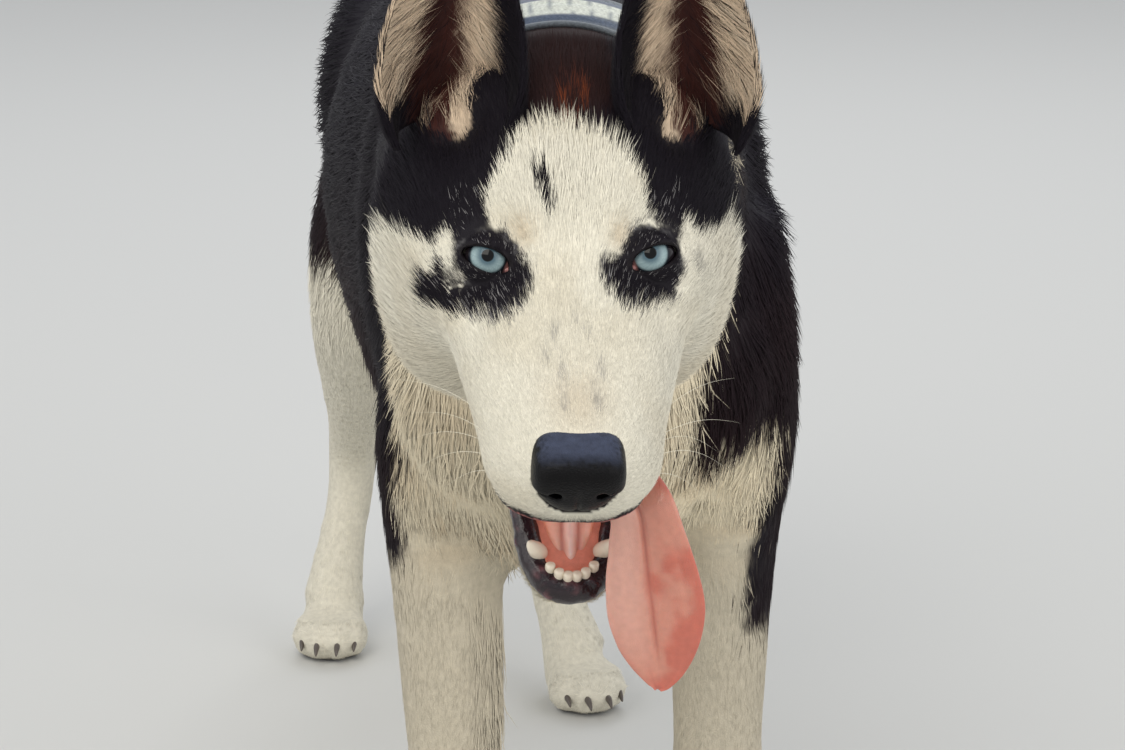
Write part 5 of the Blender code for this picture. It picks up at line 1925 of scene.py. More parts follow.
@dataclass(frozen=True)
class Eyes:
    """The two pale blue eyes."""

    pupil: float = 13.0
    iris: float = 47.0
    bulge: float = 0.6
    rim_steps: int = 14
    fibres: tuple[int, ...] = (17, 31, 53, 71)
    aim: tuple[tuple[int, float, float, float], ...] = ((1, -0.07, 0.58, 0.81), (-1, -0.09, 0.60, 0.79))
    pale: Shade = (156, 178, 180)
    deep: Shade = (78, 100, 110)
    ring: Shade = (20, 26, 34)
    # The white of the eye is near black: its dark brownish tone, darkened further as painted shade under the
    # lids
    white: Shade = (30, 25, 28)
    corner: Shade = (176, 124, 120)

    def build(self) -> None:
        """Makes both eyes."""
        for s, x, y, z in self.aim:
            word = "left" if s > 0 else "right"
            centre, _ = FACE.eye(s)
            axis = Vector((x, y, z)).normalized()
            turn = Vector((0, 0, 1)).rotation_difference(axis).to_matrix().to_4x4()
            form = bmesh.new()
            bmesh.ops.create_uvsphere(form, u_segments=96, v_segments=128, radius=FACE.eye_radius * MM)
            bmesh.ops.transform(form, matrix=turn, verts=form.verts)
            side, up = FACE.eye_sides(s)
            inner = side * (-10.0 * MM) + up * (-1.2 * MM) + FACE.eye(s)[1] * (5.2 * MM)
            eye = object_of(f"eyeball_{word}", form, ball(inner, (2.4 * MM, 1.5 * MM, 1.5 * MM), fine=16))
            points = points_of(eye)
            facing = unit(points)
            angle = np.degrees(np.arccos(np.clip(facing @ np.array(axis), -1, 1)))
            points += facing * (self.bulge * MM * step_up(-angle, -48, -10))[:, None]
            tint(eye, self.colours(facing, angle, axis, s))
            set_points(eye, points + np.array(centre))
            moved(eye, HEAD.matrix())
            seat(eye, EYE, "eye", "eye_" + word)
        self.rims()

    def rims(self) -> None:
        """Makes the black wet rims of the lids."""
        forms = []
        for s in (1, -1):
            for start, finish in ((0.0, 0.5), (0.5, 1.0)):
                rows = []
                for k in range(self.rim_steps + 1):
                    point = FACE.rim(s, start + (finish - start) * k / self.rim_steps)
                    size = (0.55 + 0.5 * math.sin(math.pi * k / self.rim_steps)) * MM
                    rows.append((*point, size, size, size))
                forms.append(limb(rows, side=FACE.eye(s)[1], steps=3, around=10))
        rims = object_of("lid_rims", *forms)
        moved(rims, HEAD.matrix())
        tint(rims, Tone.LIP.light)
        seat(rims, NOSE_LEATHER, None)

    def colours(self, facing: Array, angle: Array, axis: Vector, s: int) -> Array:
        """The iris, pupil, ring and white of one eye, with the upper lid's shadow painted across the top.

        Args:
            facing: directions from the eye's centre.
            angle: degrees from the pupil's middle.
            axis: the way the eye looks; not used.
            s: 1 for the dog's left eye, -1 for its right.

        Returns:
            Light values.
        """
        side, up = FACE.eye_sides(s)
        around = np.arctan2(facing @ np.array(up), facing @ np.array(side))
        fibre = sum(np.sin(around * k + k * k) for k in self.fibres) / len(self.fibres)
        share = np.clip((angle - self.pupil) / (self.iris - self.pupil), 0, 1)
        colour = all_over(shade(*self.deep), angle)
        low = facing @ np.array(up)
        # Painted shade: the pale ring is kept to the lower part of the iris, out of the upper lid's shadow
        bright = step_up(share, 0.05, 0.55) * (0.72 + 0.22 * fibre) * step_up(-low, -0.9, 0.1)
        colour = blend(colour, shade(*self.pale), bright)
        colour = blend(colour, shade(*self.deep), 0.55 * step_up(-share, -0.22, -0.05))
        # Painted shade: the upper part of the eye is darkened as the upper lid's shadow
        colour = colour * (1 - 0.5 * step_up(low, 0.10, 0.70))[:, None]
        colour = blend(colour, shade(*self.ring), step_up(share, 0.70, 0.95))
        colour = blend(colour, shade(*self.white), step_up(angle, self.iris, self.iris + 4))
        inner = facing @ np.array(side)
        colour = blend(colour, shade(*self.corner), step_up(-inner, 0.72, 0.82))
        return blend(colour, np.zeros(3) + 0.0004, step_up(-angle, -self.pupil - 0.6, -self.pupil + 0.6))


@dataclass(frozen=True)
class Nose:
    """The black nose with its nostrils."""

    nostril: Triple = (9.0, 107.0, -22.5)
    square: tuple[float, float] = (4.0, 2.5)
    groove_width: float = 1.1
    groove_depth: float = 1.6
    # Painted sky reflection: the blue-grey that the top of the nose shows
    top: Shade = (60, 66, 84)
    dark: Shade = (5, 4, 6)

    def build(self) -> None:
        """Makes the nose: wide and flat above, narrow below, with two curled nostrils and a sky reflection
        painted on its top.
        """
        centre = Vector(FACE.nose_centre) * MM
        radii = np.array(FACE.nose_radii) * MM
        nose = object_of("nose_pad", ball((0, 0, 0), radii, fine=64))
        ways = unit(points_of(nose) / radii)
        power = np.where(ways[:, 2] > 0, *self.square)
        boxy = (np.abs(ways) ** power[:, None]).sum(axis=1) ** (-1 / power)
        points = ways * radii * boxy[:, None]
        rise = points[:, 2] / radii[2]
        points[:, 0] *= 1 - FACE.nose_narrow * np.clip(-rise, 0, 1)
        points[:, 1] -= 1.2 * MM * step_up(-rise, 0.2, 1.0)
        groove = hump((points[:, 0], 0, self.groove_width * MM))
        groove = groove * step_up(points[:, 1], 0.0, 0.01) * step_up(-rise, -0.4, 0.3)
        points[:, 1] -= self.groove_depth * MM * groove
        set_points(nose, points + np.array(centre))
        for s in (1, -1):
            x, y, z = self.nostril
            hole = ball(Vector((s * x, y, z)) * MM, (3.1 * MM, 6.0 * MM, 2.6 * MM), (0, 0, -s * 20))
            middle = Vector((s * (x + 4.6), y - 2.5, z - 2.0)) * MM
            slit = ball(middle, (4.8 * MM, 4.6 * MM, 1.0 * MM), (0, s * 20, -s * 40))
            for cut in (hole, slit):
                combine(nose, object_of("nostril", cut), "DIFFERENCE")
        fuse(nose, 0.7 * MM, 2)
        points, normals = points_of(nose), normals_of(nose)
        # Painted reflection: the flat top, toward its back, takes the blue-grey sky reflection; the rest
        # stays black
        high = (points[:, 2] / MM - FACE.nose_centre[2]) / FACE.nose_radii[2]
        mottle = Noise(8).at(points, 0.0012)
        ahead = (points[:, 1] / MM - FACE.nose_centre[1]) / FACE.nose_radii[1] + 0.12 * mottle
        light = step_up(normals[:, 2] + 0.2 * mottle, 0.5, 1.0) * step_up(high, 0.45, 0.95)
        light = light * step_up(-ahead, -0.75, -0.1)
        tint(nose, blend(all_over(shade(*self.dark), points), shade(*self.top), light))
        moved(nose, HEAD.matrix())
        seat(nose, NOSE_LEATHER, "nose", "nose")


@dataclass(frozen=True)
class Tongue:
    """The long tongue, out over the left lip, with its groove."""

    # Side, forward, up, half width, half thickness above and below, in millimetres
    rows: Rows = (
        (3, -8, -72, 14, 5.0, 5.0),
        (5, 14, -73, 16, 5.0, 5.0),
        (10, 38, -70, 17.5, 4.5, 4.5),
        (22, 62, -66, 14, 4.0, 4.0),
        (31, 78, -69, 14.2, 3.5, 3.5),
        (34.6, 86, -82, 17, 3.2, 3.2),
        (37.2, 92, -97, 20, 3.0, 3.0),
        (40.2, 98, -113, 21.2, 3.0, 3.0),
        (42.2, 103, -126, 18.8, 2.8, 2.8),
        (43.6, 106, -136, 15.0, 2.6, 2.6),
        (44.3, 108.5, -144, 10.4, 2.2, 2.2),
        (44.2, 110.5, -150, 5.4, 1.6, 1.6),
        (43.6, 111.5, -153, 1.4, 0.8, 0.8),
    )
    groove: float = 2.2
    curl: float = 2.0
    line: float = 0.08
    around: int = 96
    colour: Shade = (198, 133, 114)
    deep: Shade = (188, 96, 78)
    pale: Shade = (212, 172, 158)

    def build(self) -> None:
        """Makes the tongue."""
        rows = spline(self.rows, 7)
        along = np.gradient(rows[:, :3], axis=0)
        turns = np.arange(self.around) * 2 * math.pi / self.around
        c, height = np.cos(turns), np.sin(turns)
        line_wide = 0.6 * hump((c, self.line, 0.35))
        rings, lateral, reach = [], [], []
        for k, (row, tangent) in enumerate(zip(rows, along)):
            tangent = tangent / np.linalg.norm(tangent)
            across = np.array((-1.0, 0, 0)) - tangent * -tangent[0]
            across /= np.linalg.norm(across)
            up = np.cross(tangent, across)
            share = k / (len(rows) - 1)
            hollow = self.groove * max(0.0, math.sin(math.pi * min(1.0, share * 1.06))) ** 0.7
            lift = np.where(height > 0, row[4], row[5]) * np.sign(height) * np.abs(height) ** 0.7
            sharp = 1.0 if share < 0.66 else max(0.0, 1 - (share - 0.66) / 0.18)
            line = 0.9 * sharp * hump((c, self.line, 0.07)) + line_wide
            lift = lift - np.where(height > 0, hollow * line, 0.35 * hollow * line)
            lift = lift + self.curl * c * c
            rings.append((row[:3] + np.outer(row[3] * c, across) + np.outer(lift, up)) * MM)
            lateral.append(c)
            reach.append(np.full(len(c), share))
        tongue = object_of("tongue_flesh", through_rings(rings))
        points = points_of(tongue)
        noise = Noise(21)
        place = np.concatenate(rings)
        index = np.array([int(np.argmin(((place - p) ** 2).sum(axis=1))) for p in points])
        side, share = np.concatenate(lateral)[index], np.concatenate(reach)[index]
        patch = noise.at(points, 0.014) + 0.5 * noise.at(points, 0.005)
        run = np.stack([side * 0.02, share * 0.012, 0 * side], axis=1)
        streak = noise.at(run, 0.0022) + 0.6 * noise.at(points, 0.002)
        colour, deep, pale = (shade(*one) for one in (self.colour, self.deep, self.pale))
        colour = all_over(colour, points)
        red = step_up(1.2 * patch + 1.8 * (share - 0.72) - 0.9 * side, -0.1, 0.8)
        colour = blend(colour, deep, 0.85 * red)
        colour = blend(colour, deep, 0.4 * step_up(np.abs(side), 0.72, 0.98) * step_up(share, 0.5, 0.8))
        colour = blend(colour, pale, 0.5 * step_up(side, -0.1, 0.5) * step_up(-share, -0.9, -0.5))
        # Painted shade: the groove's line is darkened toward the tongue's root
        colour = blend(colour, deep, 0.75 * hump((side, self.line, 0.05)) * step_up(-share, -0.82, -0.64))
        tint(tongue, colour * (1 + 0.07 * streak)[:, None])
        moved(tongue, HEAD.matrix())
        seat(tongue, TONGUE_WET, "tongue", "tongue")


@dataclass(frozen=True)
class Teeth:
    """The lower teeth and the gum that they stand in, on the closed jaw in millimetres."""

    incisors: Rows = ((1.95, 100.2), (5.8, 98.8), (9.5, 96.0))
    # An incisor's sections: forward of its foot, up, radius
    crown: Rows = (
        (0.2, -60.5, 1.9),
        (0.0, -58.6, 2.1),
        (-0.6, -56.6, 2.25),
        (-1.3, -54.9, 2.3),
        (-1.8, -53.8, 2.1),
        (-2.1, -53.3, 1.3),
    )
    # Side teeth: middle, then three radii
    molars: Rows = ((19.5, 60, -57.5, 2.6, 5, 3.6), (20.5, 48, -57.5, 2.8, 5.4, 4.2))
    gum: Rows = (
        (14.5, 84, -61.2),
        (13.0, 90, -60.4),
        (9.6, 94.6, -59.8),
        (5.4, 97.2, -59.6),
        (0, 98.0, -59.5),
    )
    canine: Rows = (
        (13.0, 87.0, -62.0, 3.6),
        (13.9, 87.2, -58.5, 4.0),
        (15.2, 87.2, -55.0, 3.8),
        (16.7, 87.0, -51.5, 3.1),
        (18.0, 86.6, -48.8, 2.2),
        (18.8, 86.3, -47.2, 1.2),
        (19.1, 86.2, -46.6, 0.5),
    )
    enamel: Shade = (226, 214, 194)

    def build(self) -> None:
        """Makes the teeth and the gum."""
        forms = []
        for s in (1, -1):
            for x, y in self.incisors:
                rows = [(s * x, y + run, z, r, r, 0.8 * r) for run, z, r in self.crown]
                forms.append(limb([[v * MM for v in row] for row in rows], around=20))
            forms.append(round_limb(mirrored(self.canine, s), around=18))
            for x, y, z, *radii in self.molars:
                forms.append(ball(Vector((s * x, y, z)) * MM, [r * MM for r in radii]))
        teeth = object_of("lower_teeth", *forms)
        moved(teeth, HEAD.matrix() @ HEAD.jaw())
        tint(teeth, shade(*self.enamel))
        seat(teeth, TOOTH_ENAMEL, None)
        line = [*self.gum, *mirrored(self.gum[-2::-1], -1)]
        rows = [[v * MM for v in (*row, 2.7, 2.4, 2.4)] for row in line]
        gum = object_of("lower_gum", limb(rows, side=(0, 0, 1), around=16))
        moved(gum, HEAD.matrix() @ HEAD.jaw())
        tint(gum, Tone.GUM.light)
        seat(gum, TONGUE_WET, None)


@dataclass(frozen=True)
class Lips:
    """The black wet rim of the lower lip and the dark line under the upper one, in millimetres."""

    # Side, forward, up, radius on the closed jaw
    lower: Rows = (
        (26, 30, -58.5, 3.0),
        (23.5, 46, -59.5, 4.0),
        (21, 62, -60.3, 4.9),
        (18.6, 78, -61.1, 5.6),
        (15.6, 91, -61.9, 6.1),
        (9.4, 100.0, -62.8, 6.4),
    )
    upper: Rows = (
        (30, 34, -55.0, 1.2),
        (31, 52, -55.0, 1.6),
        (30, 72, -54.5, 1.6),
        (25, 88, -53.0, 1.6),
        (14, 97.5, -50.0, 1.5),
    )
    lower_front: tuple[float, ...] = (0, 103.0, -63.1, 6.6)
    upper_front: tuple[float, ...] = (0, 100.5, -47.5, 1.3)
    # The mouth's floor: side, forward, up, half width, half thickness
    floor: Rows = (
        (0, 8, -59.0, 18.0, 6.0),
        (0, 40, -58.5, 16.5, 5.6),
        (0, 62, -58.6, 13.5, 5.0),
        (0, 77, -59.0, 10.5, 4.0),
        (0, 87, -59.8, 5.5, 2.6),
        (0, 90.5, -60.8, 1.6, 1.0),
    )
    colour: Shade = (30, 18, 24)
    # Reddish-brown painted highlights on the wet folds of the lips
    warm: Shade = (104, 62, 66)
    floor_colour: Shade = (240, 180, 160)
    floor_edge: Shade = (232, 146, 118)
    floor_groove: Shade = (186, 92, 80)
    floor_ridge: Shade = (244, 206, 196)
    chin_hairs: int = 2600

    def build(self) -> None:
        """Makes both rims."""
        noise = Noise(17)
        for name, rows, front, turn in (
            ("lower_lip_rim", self.lower, self.lower_front, HEAD.jaw()),
            ("upper_lip_rim", self.upper, self.upper_front, Matrix()),
        ):
            line = [*rows, front, *mirrored(rows[::-1], -1)]
            rim = object_of(name, round_limb(line, side=(0, 0, 1), steps=14, around=24))
            points, normals = points_of(rim), normals_of(rim)
            fold = noise.at(points, 0.0046) + 0.6 * noise.at(points, 0.0021)
            set_points(rim, points + normals * (0.55 * MM * fold)[:, None])
            moved(rim, HEAD.matrix() @ turn)
            colour = all_over(shade(*self.colour), points)
            # Painted highlights: the folds that stand out highest are blended toward warm reddish brown
            tint(rim, blend(colour, shade(*self.warm), 0.8 * step_up(fold, 0.2, 1.2)))
            seat(rim, LIP_WET, None)
        self.mouth_floor(noise)
        self.chin_hair()

    def chin_hair(self) -> None:
        """Grows the short white hair that stands out below the lower lip."""
        rng = np.random.default_rng(31)
        count = self.chin_hairs
        up = np.array((0.0, 0.0, 1.0))
        rows = spline([*self.lower, self.lower_front], 10)
        spot = rng.random(count) ** 0.8 * (len(rows) - 1)
        marks = np.arange(len(rows))
        middle = np.stack([np.interp(spot, marks, rows[:, k]) for k in range(4)], axis=1)
        run = unit(np.stack([np.interp(spot, marks, np.gradient(rows[:, k])) for k in range(3)], axis=1))
        side = np.where(rng.random(count) < 0.5, 1.0, -1.0)
        out = unit(np.cross(run, up))
        out *= np.sign((out * np.array((1.0, 0.6, 0.0))).sum(axis=1))[:, None]
        turn = np.radians(rng.uniform(-75, -15, count))
        normal = out * np.cos(turn)[:, None] + up * np.sin(turn)[:, None]
        place = middle[:, :3] + normal * (middle[:, 3] * 0.96)[:, None]
        way = unit(-run * 0.7 - up * 0.5 + out * 0.5)
        way = unit(way - normal * (way * normal).sum(axis=1)[:, None])
        mirror = np.stack([side, np.ones(count), np.ones(count)], axis=1)
        matrix = HEAD.matrix() @ HEAD.jaw()
        place = carried(place * mirror * MM, matrix)
        normal, way = (turned(v * mirror, matrix) for v in (normal, way))
        length = rng.uniform(4.0, 7.5, count)
        colour = all_over(Tone.CREAM.light, place) * rng.uniform(0.85, 1.1, count)[:, None]
        lift = np.radians(rng.uniform(8, 26, count))
        spread = np.stack([0.93 + 0.05 * middle[:, 0] * side / 30, 0.02 + 0.4 * middle[:, 1] / 110], axis=1)
        width = width_of(length) * MM * 0.8
        # Painted shade: each hair's root is darker than its tip
        roots = Roots(place, normal, way, length * MM, width, lift, colour * 0.9, colour, spread)
        Coat().piece("coat_chin", roots, rng)

    def mouth_floor(self, noise: Noise) -> None:
        """Makes the floor of the mouth with its pale ridge between two grooves.

        Args:
            noise: what roughens it.
        """
        rows = [[v * MM for v in (*row, row[-1])] for row in self.floor]
        floor = object_of("mouth_floor", limb(rows, steps=14, around=64))
        points, normals = points_of(floor), normals_of(floor)
        across = np.abs(points[:, 0]) / MM
        ridge = hump((across, 0, 1.3))
        groove = hump((across, 3.6, 1.3))
        height = 0.9 * ridge - 1.1 * groove + 0.2 * noise.at(points, 0.003)
        set_points(floor, points + normals * (height * MM)[:, None])
        colour = all_over(shade(*self.floor_colour), points)
        colour = blend(colour, shade(*self.floor_edge), step_up(across, 5.0, 11.0))
        colour = blend(colour, shade(*self.floor_groove), 0.7 * groove)
        tint(floor, blend(colour, shade(*self.floor_ridge), ridge))
        moved(floor, HEAD.matrix() @ HEAD.jaw())
        seat(floor, TONGUE_WET, None)


@dataclass(frozen=True)
class Whiskers:
    """Long stiff hairs on the muzzle."""

    # Root and end in millimetres of the head's frame, and droop
    hairs: Rows = (
        (32, 70, -34, 74, 56, -44, 7),
        (32, 76, -38, 66, 66, -62, 8),
        (33, 66, -42, 68, 44, -66, 8),
        (30, 82, -42, 56, 70, -72, 6),
        (33, 58, -36, 72, 24, -40, 7),
    )
    radius: float = 0.12

    def build(self) -> None:
        """Makes every whisker on both sides."""
        forms = []
        rng = np.random.default_rng(4)
        for s in (1, -1):
            for row in self.hairs:
                start, end, droop = Vector((s * row[0], *row[1:3])), Vector((s * row[3], *row[4:6])), row[6]
                end += Vector(rng.normal(0, 3.0, 3))
                rows = []
                for k in range(7):
                    t = k / 6
                    point = start.lerp(end, t) + Vector((0, 0, droop * math.sin(math.pi * t)))
                    size = self.radius * (1 - 0.85 * t) * MM
                    rows.append((*(point * MM), size, size, size))
                forms.append(limb(rows, side=(0, 0.3, 1), steps=2, around=5))
        hairs = object_of("whiskers", *forms)
        moved(hairs, HEAD.matrix())
        tint(hairs, Tone.WHITE.light)
        seat(hairs, HAIR, None)


@dataclass(frozen=True)
class Claws:
    """The claws of the four paws."""

    length: float = 8.5
    hook: float = 0.55
    colour: Shade = (84, 76, 70)
    # Roots: to the side, forward; sections: share of the length, radius in millimetres
    roots: Rows = ((-0.0185, 0.022), (-0.0072, 0.033), (0.0072, 0.033), (0.0185, 0.022))
    sections: Rows = ((-0.2, 2.0), (0.2, 2.1), (0.6, 1.6), (0.9, 0.9), (1.0, 0.4))

    def build(self) -> None:
        """Makes four curved claws on each paw."""
        forms = []
        up = Vector((0, 0, 1))
        for x, y, toe_out, size in BODY.paws:
            turn = math.radians(toe_out)
            ahead = Vector((math.sin(turn), -math.cos(turn), 0))
            left = Vector((math.cos(turn), math.sin(turn), 0))
            run = self.length * MM * size
            for across, forward in self.roots:
                root = Vector((x, y, 0.0160)) + left * across * size + ahead * forward * size
                rows = []
                for share, radius in self.sections:
                    point = root + ahead * (run * share) - up * (run * self.hook * share * abs(share))
                    rows.append((*point, radius * MM, radius * MM * 1.2, radius * MM * 1.2))
                forms.append(limb(rows, side=up.cross(ahead), steps=2, around=10))
        claws = object_of("claws", *forms)
        tint(claws, shade(*self.colour))
        seat(claws, CLAW_HORN, None)


@dataclass(frozen=True)
class Collar:
    """The woven collar with plain white blocks along its middle, and its buckle."""

    width: float = 34.0
    thick: float = 2.6
    blue: Shade = (84, 96, 116)
    edge: Shade = (120, 126, 130)
    white: Shade = (214, 218, 208)
    steel: Shade = (40, 44, 50)
    buckle_size: Triple = (0.030, 0.040, 0.0050)
    middle: tuple[float, float] = (-0.031, 0.471)
    block: float = 9.0
    sunk: float = 13.0
    lean: float = 20.0
    around: int = 300

    def ring(self, near: Array, y: float, out: float) -> list[Vector]:
        """Points round the neck at a place along it.

        Args:
            near: points of the skin about the neck.
            y: the place along the dog.
            out: the distance outside the skin.

        Returns:
            The points, sunk into the coat at the sides.
        """
        rows = spline(BODY.neck, 12)
        x, _, z, half, rise, fall = (np.interp(y, rows[::-1, 1], rows[::-1, k]) for k in range(6))
        turns = np.arange(self.around) * 2 * math.pi / self.around
        c, q = np.cos(turns), np.sin(turns)
        plain = 1 / np.hypot(c / half, q / np.where(q > 0, rise, fall))
        places = y - self.lean * MM * q
        bearing = np.arctan2(near[:, 2] - z, near[:, 0] - x)
        reach = np.hypot(near[:, 0] - x, near[:, 2] - z)
        found = plain.copy()
        for k, turn in enumerate(turns):
            off = np.abs((bearing - turn + math.pi) % (2 * math.pi) - math.pi)
            chosen = (off < 0.05) & (np.abs(near[:, 1] - places[k]) < 0.0035)
            if chosen.any():
                found[k] = np.clip(reach[chosen].mean(), 0.7 * plain[k], 1.25 * plain[k])
        window = np.hanning(17)
        found = np.convolve(np.tile(found, 3), window / window.sum(), "same")[self.around : 2 * self.around]
        found = found + out - self.sunk * MM * step_up(-q, -0.90, -0.66)
        return [Vector((x + r * a, p, z + r * b)) for r, a, b, p in zip(found, c, q, places)]

    def build(self, skin: Skin) -> None:
        """Makes the band and the buckle under the throat.

        Args:
            skin: the seated skin that the band lies round.
        """
        half, thick = self.width * MM / 2, self.thick * MM
        profile = [(-half, 0.0), (-half, thick * 0.7), (-half * 0.97, thick)]
        profile += [(half * (2 * k / 24 - 1) * 0.94, thick * (1 + 0.05 * (k % 2))) for k in range(25)]
        profile += [(half * 0.97, thick), (half, thick * 0.7), (half, 0.0)]
        near = points_of(skin.thing) - np.array(PLACE)
        near = near[np.abs(near[:, 1] - COLLAR_Y) < 0.06]
        rings = [self.ring(near, COLLAR_Y + y, out + 0.8 * MM) for y, out in profile]
        count = len(profile)
        form = bmesh.new()
        bmesh.ops.create_grid(form, x_segments=count, y_segments=self.around, size=1.0)
        form.verts.ensure_lookup_table()
        for k in range(self.around + 1):
            for m in range(count + 1):
                form.verts[k * (count + 1) + m].co = rings[m % count][k % self.around]
        bmesh.ops.remove_doubles(form, verts=form.verts, dist=1e-7)
        band = object_of("collar_band", outward(form))
        points = points_of(band)
        turn = np.arctan2(points[:, 2] - self.middle[1], points[:, 0] - self.middle[0])
        across = (points[:, 1] + self.lean * MM * np.sin(turn) - COLLAR_Y) / (self.width * MM)
        weave = np.sin(turn * 500) * 0.5 + 0.5
        colour = all_over(shade(*self.blue), points)
        colour = blend(colour, shade(*self.edge), step_up(np.abs(across), 0.36, 0.42) * 0.8)
        lane = step_up(-np.abs(across + 0.04), -0.24, -0.20)
        gap = step_up(np.abs(((turn * 85.0 / self.block) % 1.0) - 0.5), 0.02, 0.10)
        colour = blend(colour, shade(*self.white), lane * (0.35 + 0.65 * gap))
        tint(band, colour * (0.9 + 0.1 * weave)[:, None])
        seat(band, WEB, "collar", "collar")
        self.buckle(min(rings[len(rings) // 2 - 1], key=lambda p: p.z))

    def buckle(self, low: Vector) -> None:
        """Makes the buckle at the band's lowest place.

        Args:
            low: that place, in the modelling frame.
        """
        form = bmesh.new()
        bmesh.ops.create_cube(form, size=1.0)
        place = Matrix.Translation(low - Vector((0, 0, 0.0012))) @ Matrix.Diagonal((*self.buckle_size, 1.0))
        bmesh.ops.transform(form, matrix=place, verts=form.verts)
        bmesh.ops.bevel(
            form, geom=form.edges[:], offset=0.002, segments=3, profile=0.5, affect="EDGES", material=-1
        )
        buckle = object_of("collar_buckle", outward(form))
        tint(buckle, shade(*self.steel))
        seat(buckle, BUCKLE_STEEL, None)


@dataclass(frozen=True)
class EarHair:
    """The hair on the ears: short on the back, long and pale from both edges inside."""

    seed: int = 9
    back: int = 6000
    front: int = 9500
    rim: int = 1500
    # Lengths in millimetres in the cup for the place across it, their share along it, and along the back
    cup_lengths: Rows = ((0, 10), (0.5, 16), (1, 22))
    cup_taper: Rows = ((0, 1.1), (0.7, 0.8), (1, 0.4))
    back_lengths: Rows = ((0, 11), (0.3, 7), (1, 4))

    def build(self) -> None:
        """Grows the hair of both ears."""
        for s in (1, -1):
            self.grow(s)

    def at(self, share: Array, across: Array, face: Array) -> Array:
        """Places on the ear.

        Args:
            share: shares of the ear's length.
            across: places across it, from -1 to 1.
            face: 1 on the outer face and -1 in the cup.

        Returns:
            Points in the ear's own frame.
        """
        rows = spline(FACE.ear_rows, 8)
        half, curl, thick = (np.interp(share, rows[:, 0], rows[:, k]) for k in (1, 2, 3))
        curl = np.radians(curl)
        radius = half / np.sin(np.minimum(curl, math.pi / 2))
        radial = radius + face * thick * FACE.ear_thin / 2
        turn = curl * across
        places = [radial * np.sin(turn), radius - radial * np.cos(turn), share * FACE.ear_length]
        return np.stack(places, axis=1) * MM

    def grow(self, s: int) -> None:
        """Grows the hair of one ear.

        Args:
            s: 1 for the dog's left, -1 for its right.
        """
        rng = np.random.default_rng(self.seed + s)
        matrix = HEAD.matrix() @ FACE.ear_place(s)
        count = self.back + self.front + self.rim
        index = np.arange(count)
        inner = (index >= self.back) & (index < self.back + self.front)
        rim = index >= self.back + self.front
        share = np.where(inner, rng.random(count) ** 1.1 * 0.97, rng.random(count) ** 1.1 * 0.99)
        across = rng.uniform(-1, 1, count)
        edge = inner & (rng.random(count) < 0.5)
        across = np.where(edge, np.sign(across) * (1 - 0.30 * rng.random(count) ** 1.4), across)
        across = np.where(rim, np.sign(across) * rng.uniform(0.98, 1.01, count), across)
        face = np.where(inner, -1.0, np.where(rim, rng.uniform(-0.8, 0.8, count), 1.0))
        point = self.at(share, across, face)
        up = unit(self.at(np.clip(share + 0.01, 0, 1.02), across, face) - point)
        sideways = unit(self.at(share, np.clip(across + 0.02, -1.2, 1.2), face) - point)
        normal = unit(np.cross(sideways, up)) * np.where(rim, 0.15, face)[:, None]
        normal = unit(normal + sideways * (np.sign(across) * rim)[:, None])
        sweep = np.where(inner, 0.25 + 1.1 * np.abs(across) ** 1.5, 0.0) * np.sign(across)
        sweep = sweep + np.where(inner, rng.normal(0, 0.25, count), 0.0)
        way = unit(up - sideways * sweep[:, None])
        long = read_off(np.abs(across), self.cup_lengths) * read_off(share, self.cup_taper)
        length = np.where(inner, long, read_off(share, self.back_lengths)) * rng.uniform(0.6, 1.3, count)
        lift = np.radians(np.where(inner, rng.normal(17, 6, count), rng.normal(10, 3, count)))
        model = carried(point, matrix)
        normal, way = unit(turned(normal, matrix)), unit(turned(way, matrix))
        colour = MARKINGS.ear(model - normal * (0.6 * MM) + rng.normal(0, 0.8, (count, 3)) * MM)
        colour = np.where((rim | (face > 0))[:, None], Tone.BLACK.light, colour)
        pale = rim & (across > 0) & (share > 0.14) & (rng.random(count) < 0.6)
        colour = np.where(pale[:, None], Tone.EAR_CREAM.light, colour)
        colour = colour * (1 + rng.normal(0, 0.08, count))[:, None]
        column = 0.90 if s > 0 else 0.81
        spread = np.stack([column + 0.04 * across, 0.02 + 0.46 * share], axis=1)
        width = width_of(length) * MM * np.where(inner, rng.uniform(0.3, 0.6, count), 1.0)
        # Painted shade and light: each hair darkens toward its root and lightens toward its tip
        tip = np.clip(colour * 1.1, 0, 1)
        roots = Roots(model, normal, way, length * MM, width, lift, colour * 0.85, tip, spread)
        Coat().piece("coat_ear_left" if s > 0 else "coat_ear_right", roots, rng)


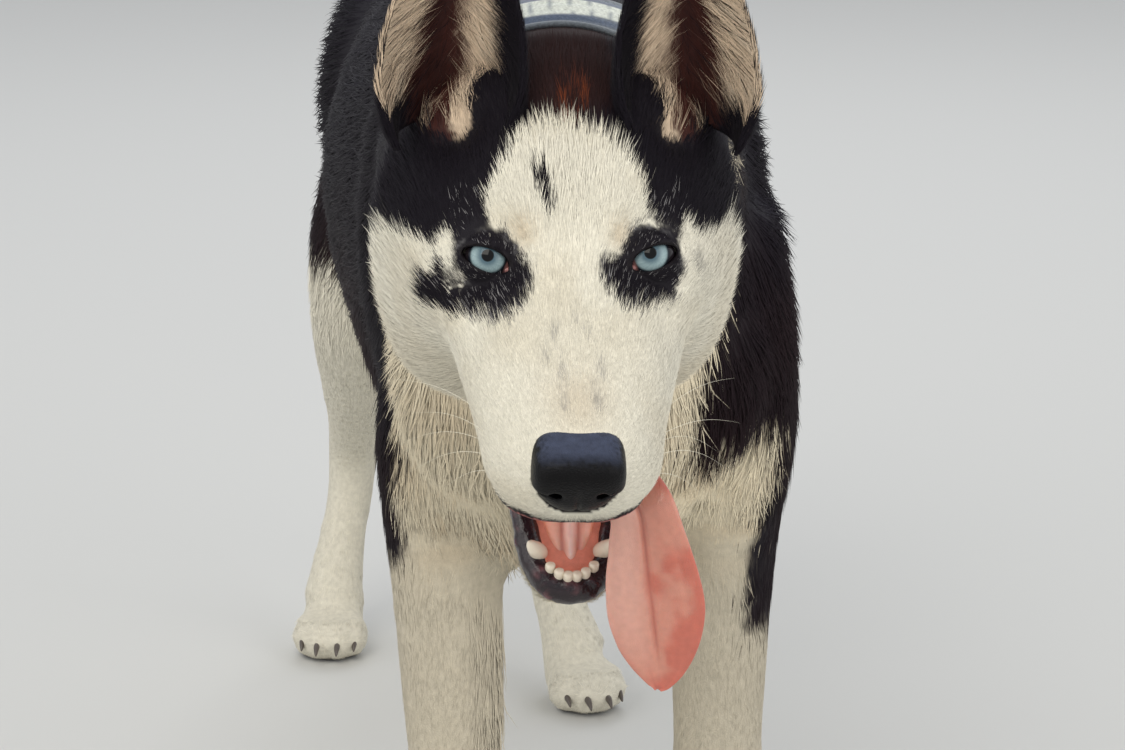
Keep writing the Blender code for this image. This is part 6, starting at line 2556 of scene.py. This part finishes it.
@dataclass(frozen=True)
class Studio:
    """The floor, the light and the camera."""

    camera: Triple = (-0.1844, -1.8296, 0.752)
    azimuth: float = -6.0
    pitch: float = 14.0
    lens: float = 105.6
    floor: Shade = (205, 205, 202)
    sky: Triple = (0.94, 0.96, 1.0)
    sky_strength: float = 0.72
    aim: Triple = (0.0, -0.2, 0.35)
    # Lamps: name, place, size, power, colour
    lamps: tuple[tuple[str, Triple, float, float, Triple], ...] = (
        ("key", (-1.2, -2.6, 3.0), 2.4, 60.0, (1.0, 0.96, 0.88)),
        ("fill", (2.2, -2.2, 1.2), 2.4, 32.0, (1.0, 0.97, 0.92)),
        ("side", (-2.4, -1.4, 0.9), 2.2, 16.0, (1.0, 0.97, 0.92)),
        ("back", (0.6, 2.6, 2.6), 2.0, 24.0, (0.95, 0.97, 1.0)),
    )

    def build(self) -> None:
        """Sets up the view and the light."""
        scene = bpy.context.scene
        scene.view_settings.view_transform = "Standard"
        data = bpy.data.cameras.new("camera")
        data.lens, data.sensor_width, data.sensor_fit = self.lens, 36.0, "HORIZONTAL"
        data.clip_start, data.clip_end = 0.05, 60.0
        camera = bpy.data.objects.new("camera", data)
        scene.collection.objects.link(camera)
        turn, pitch = math.radians(self.azimuth), math.radians(self.pitch)
        level = math.cos(pitch)
        look = Vector((-math.sin(turn) * level, math.cos(turn) * level, -math.sin(pitch)))
        camera.location = Vector(self.camera) + PLACE
        camera.rotation_euler = look.to_track_quat("-Z", "Y").to_euler()
        scene.camera = camera
        form = bmesh.new()
        bmesh.ops.create_grid(form, x_segments=1, y_segments=1, size=12.0)
        floor = object_of("floor", form)
        material = bpy.data.materials.new("floor")
        material.use_nodes = True
        shader = material.node_tree.nodes["Principled BSDF"]
        shader.inputs["Base Color"].default_value = (*shade(*self.floor), 1.0)
        shader.inputs["Roughness"].default_value = 0.9
        floor.data.materials.append(material)
        world = bpy.data.worlds.new("studio")
        world.use_nodes = True
        sky = world.node_tree.nodes["Background"].inputs
        sky["Color"].default_value = (*self.sky, 1.0)
        sky["Strength"].default_value = self.sky_strength
        scene.world = world
        for name, place, size, power, colour in self.lamps:
            lamp = bpy.data.lights.new(name, "AREA")
            lamp.size, lamp.energy, lamp.color = size, power, colour
            light = bpy.data.objects.new(name, lamp)
            scene.collection.objects.link(light)
            light.location = place
            aim = Vector(self.aim) - Vector(place)
            light.rotation_euler = aim.to_track_quat("-Z", "Y").to_euler()


def main() -> None:
    """Builds the dog, its coat and the studio in order."""
    logging.basicConfig(level=logging.INFO, format="%(name)s %(message)s")
    Studio().build()
    skin = Skin()
    skin.build()
    log.info("skin made")
    Coat().grow(skin)
    EarHair().build()
    skin.dress()
    Eyes().build()
    Nose().build()
    Tongue().build()
    Teeth().build()
    Lips().build()
    Whiskers().build()
    Claws().build()
    Collar().build(skin)
    bpy.context.view_layer.update()


if __name__ == "__main__":
    main()
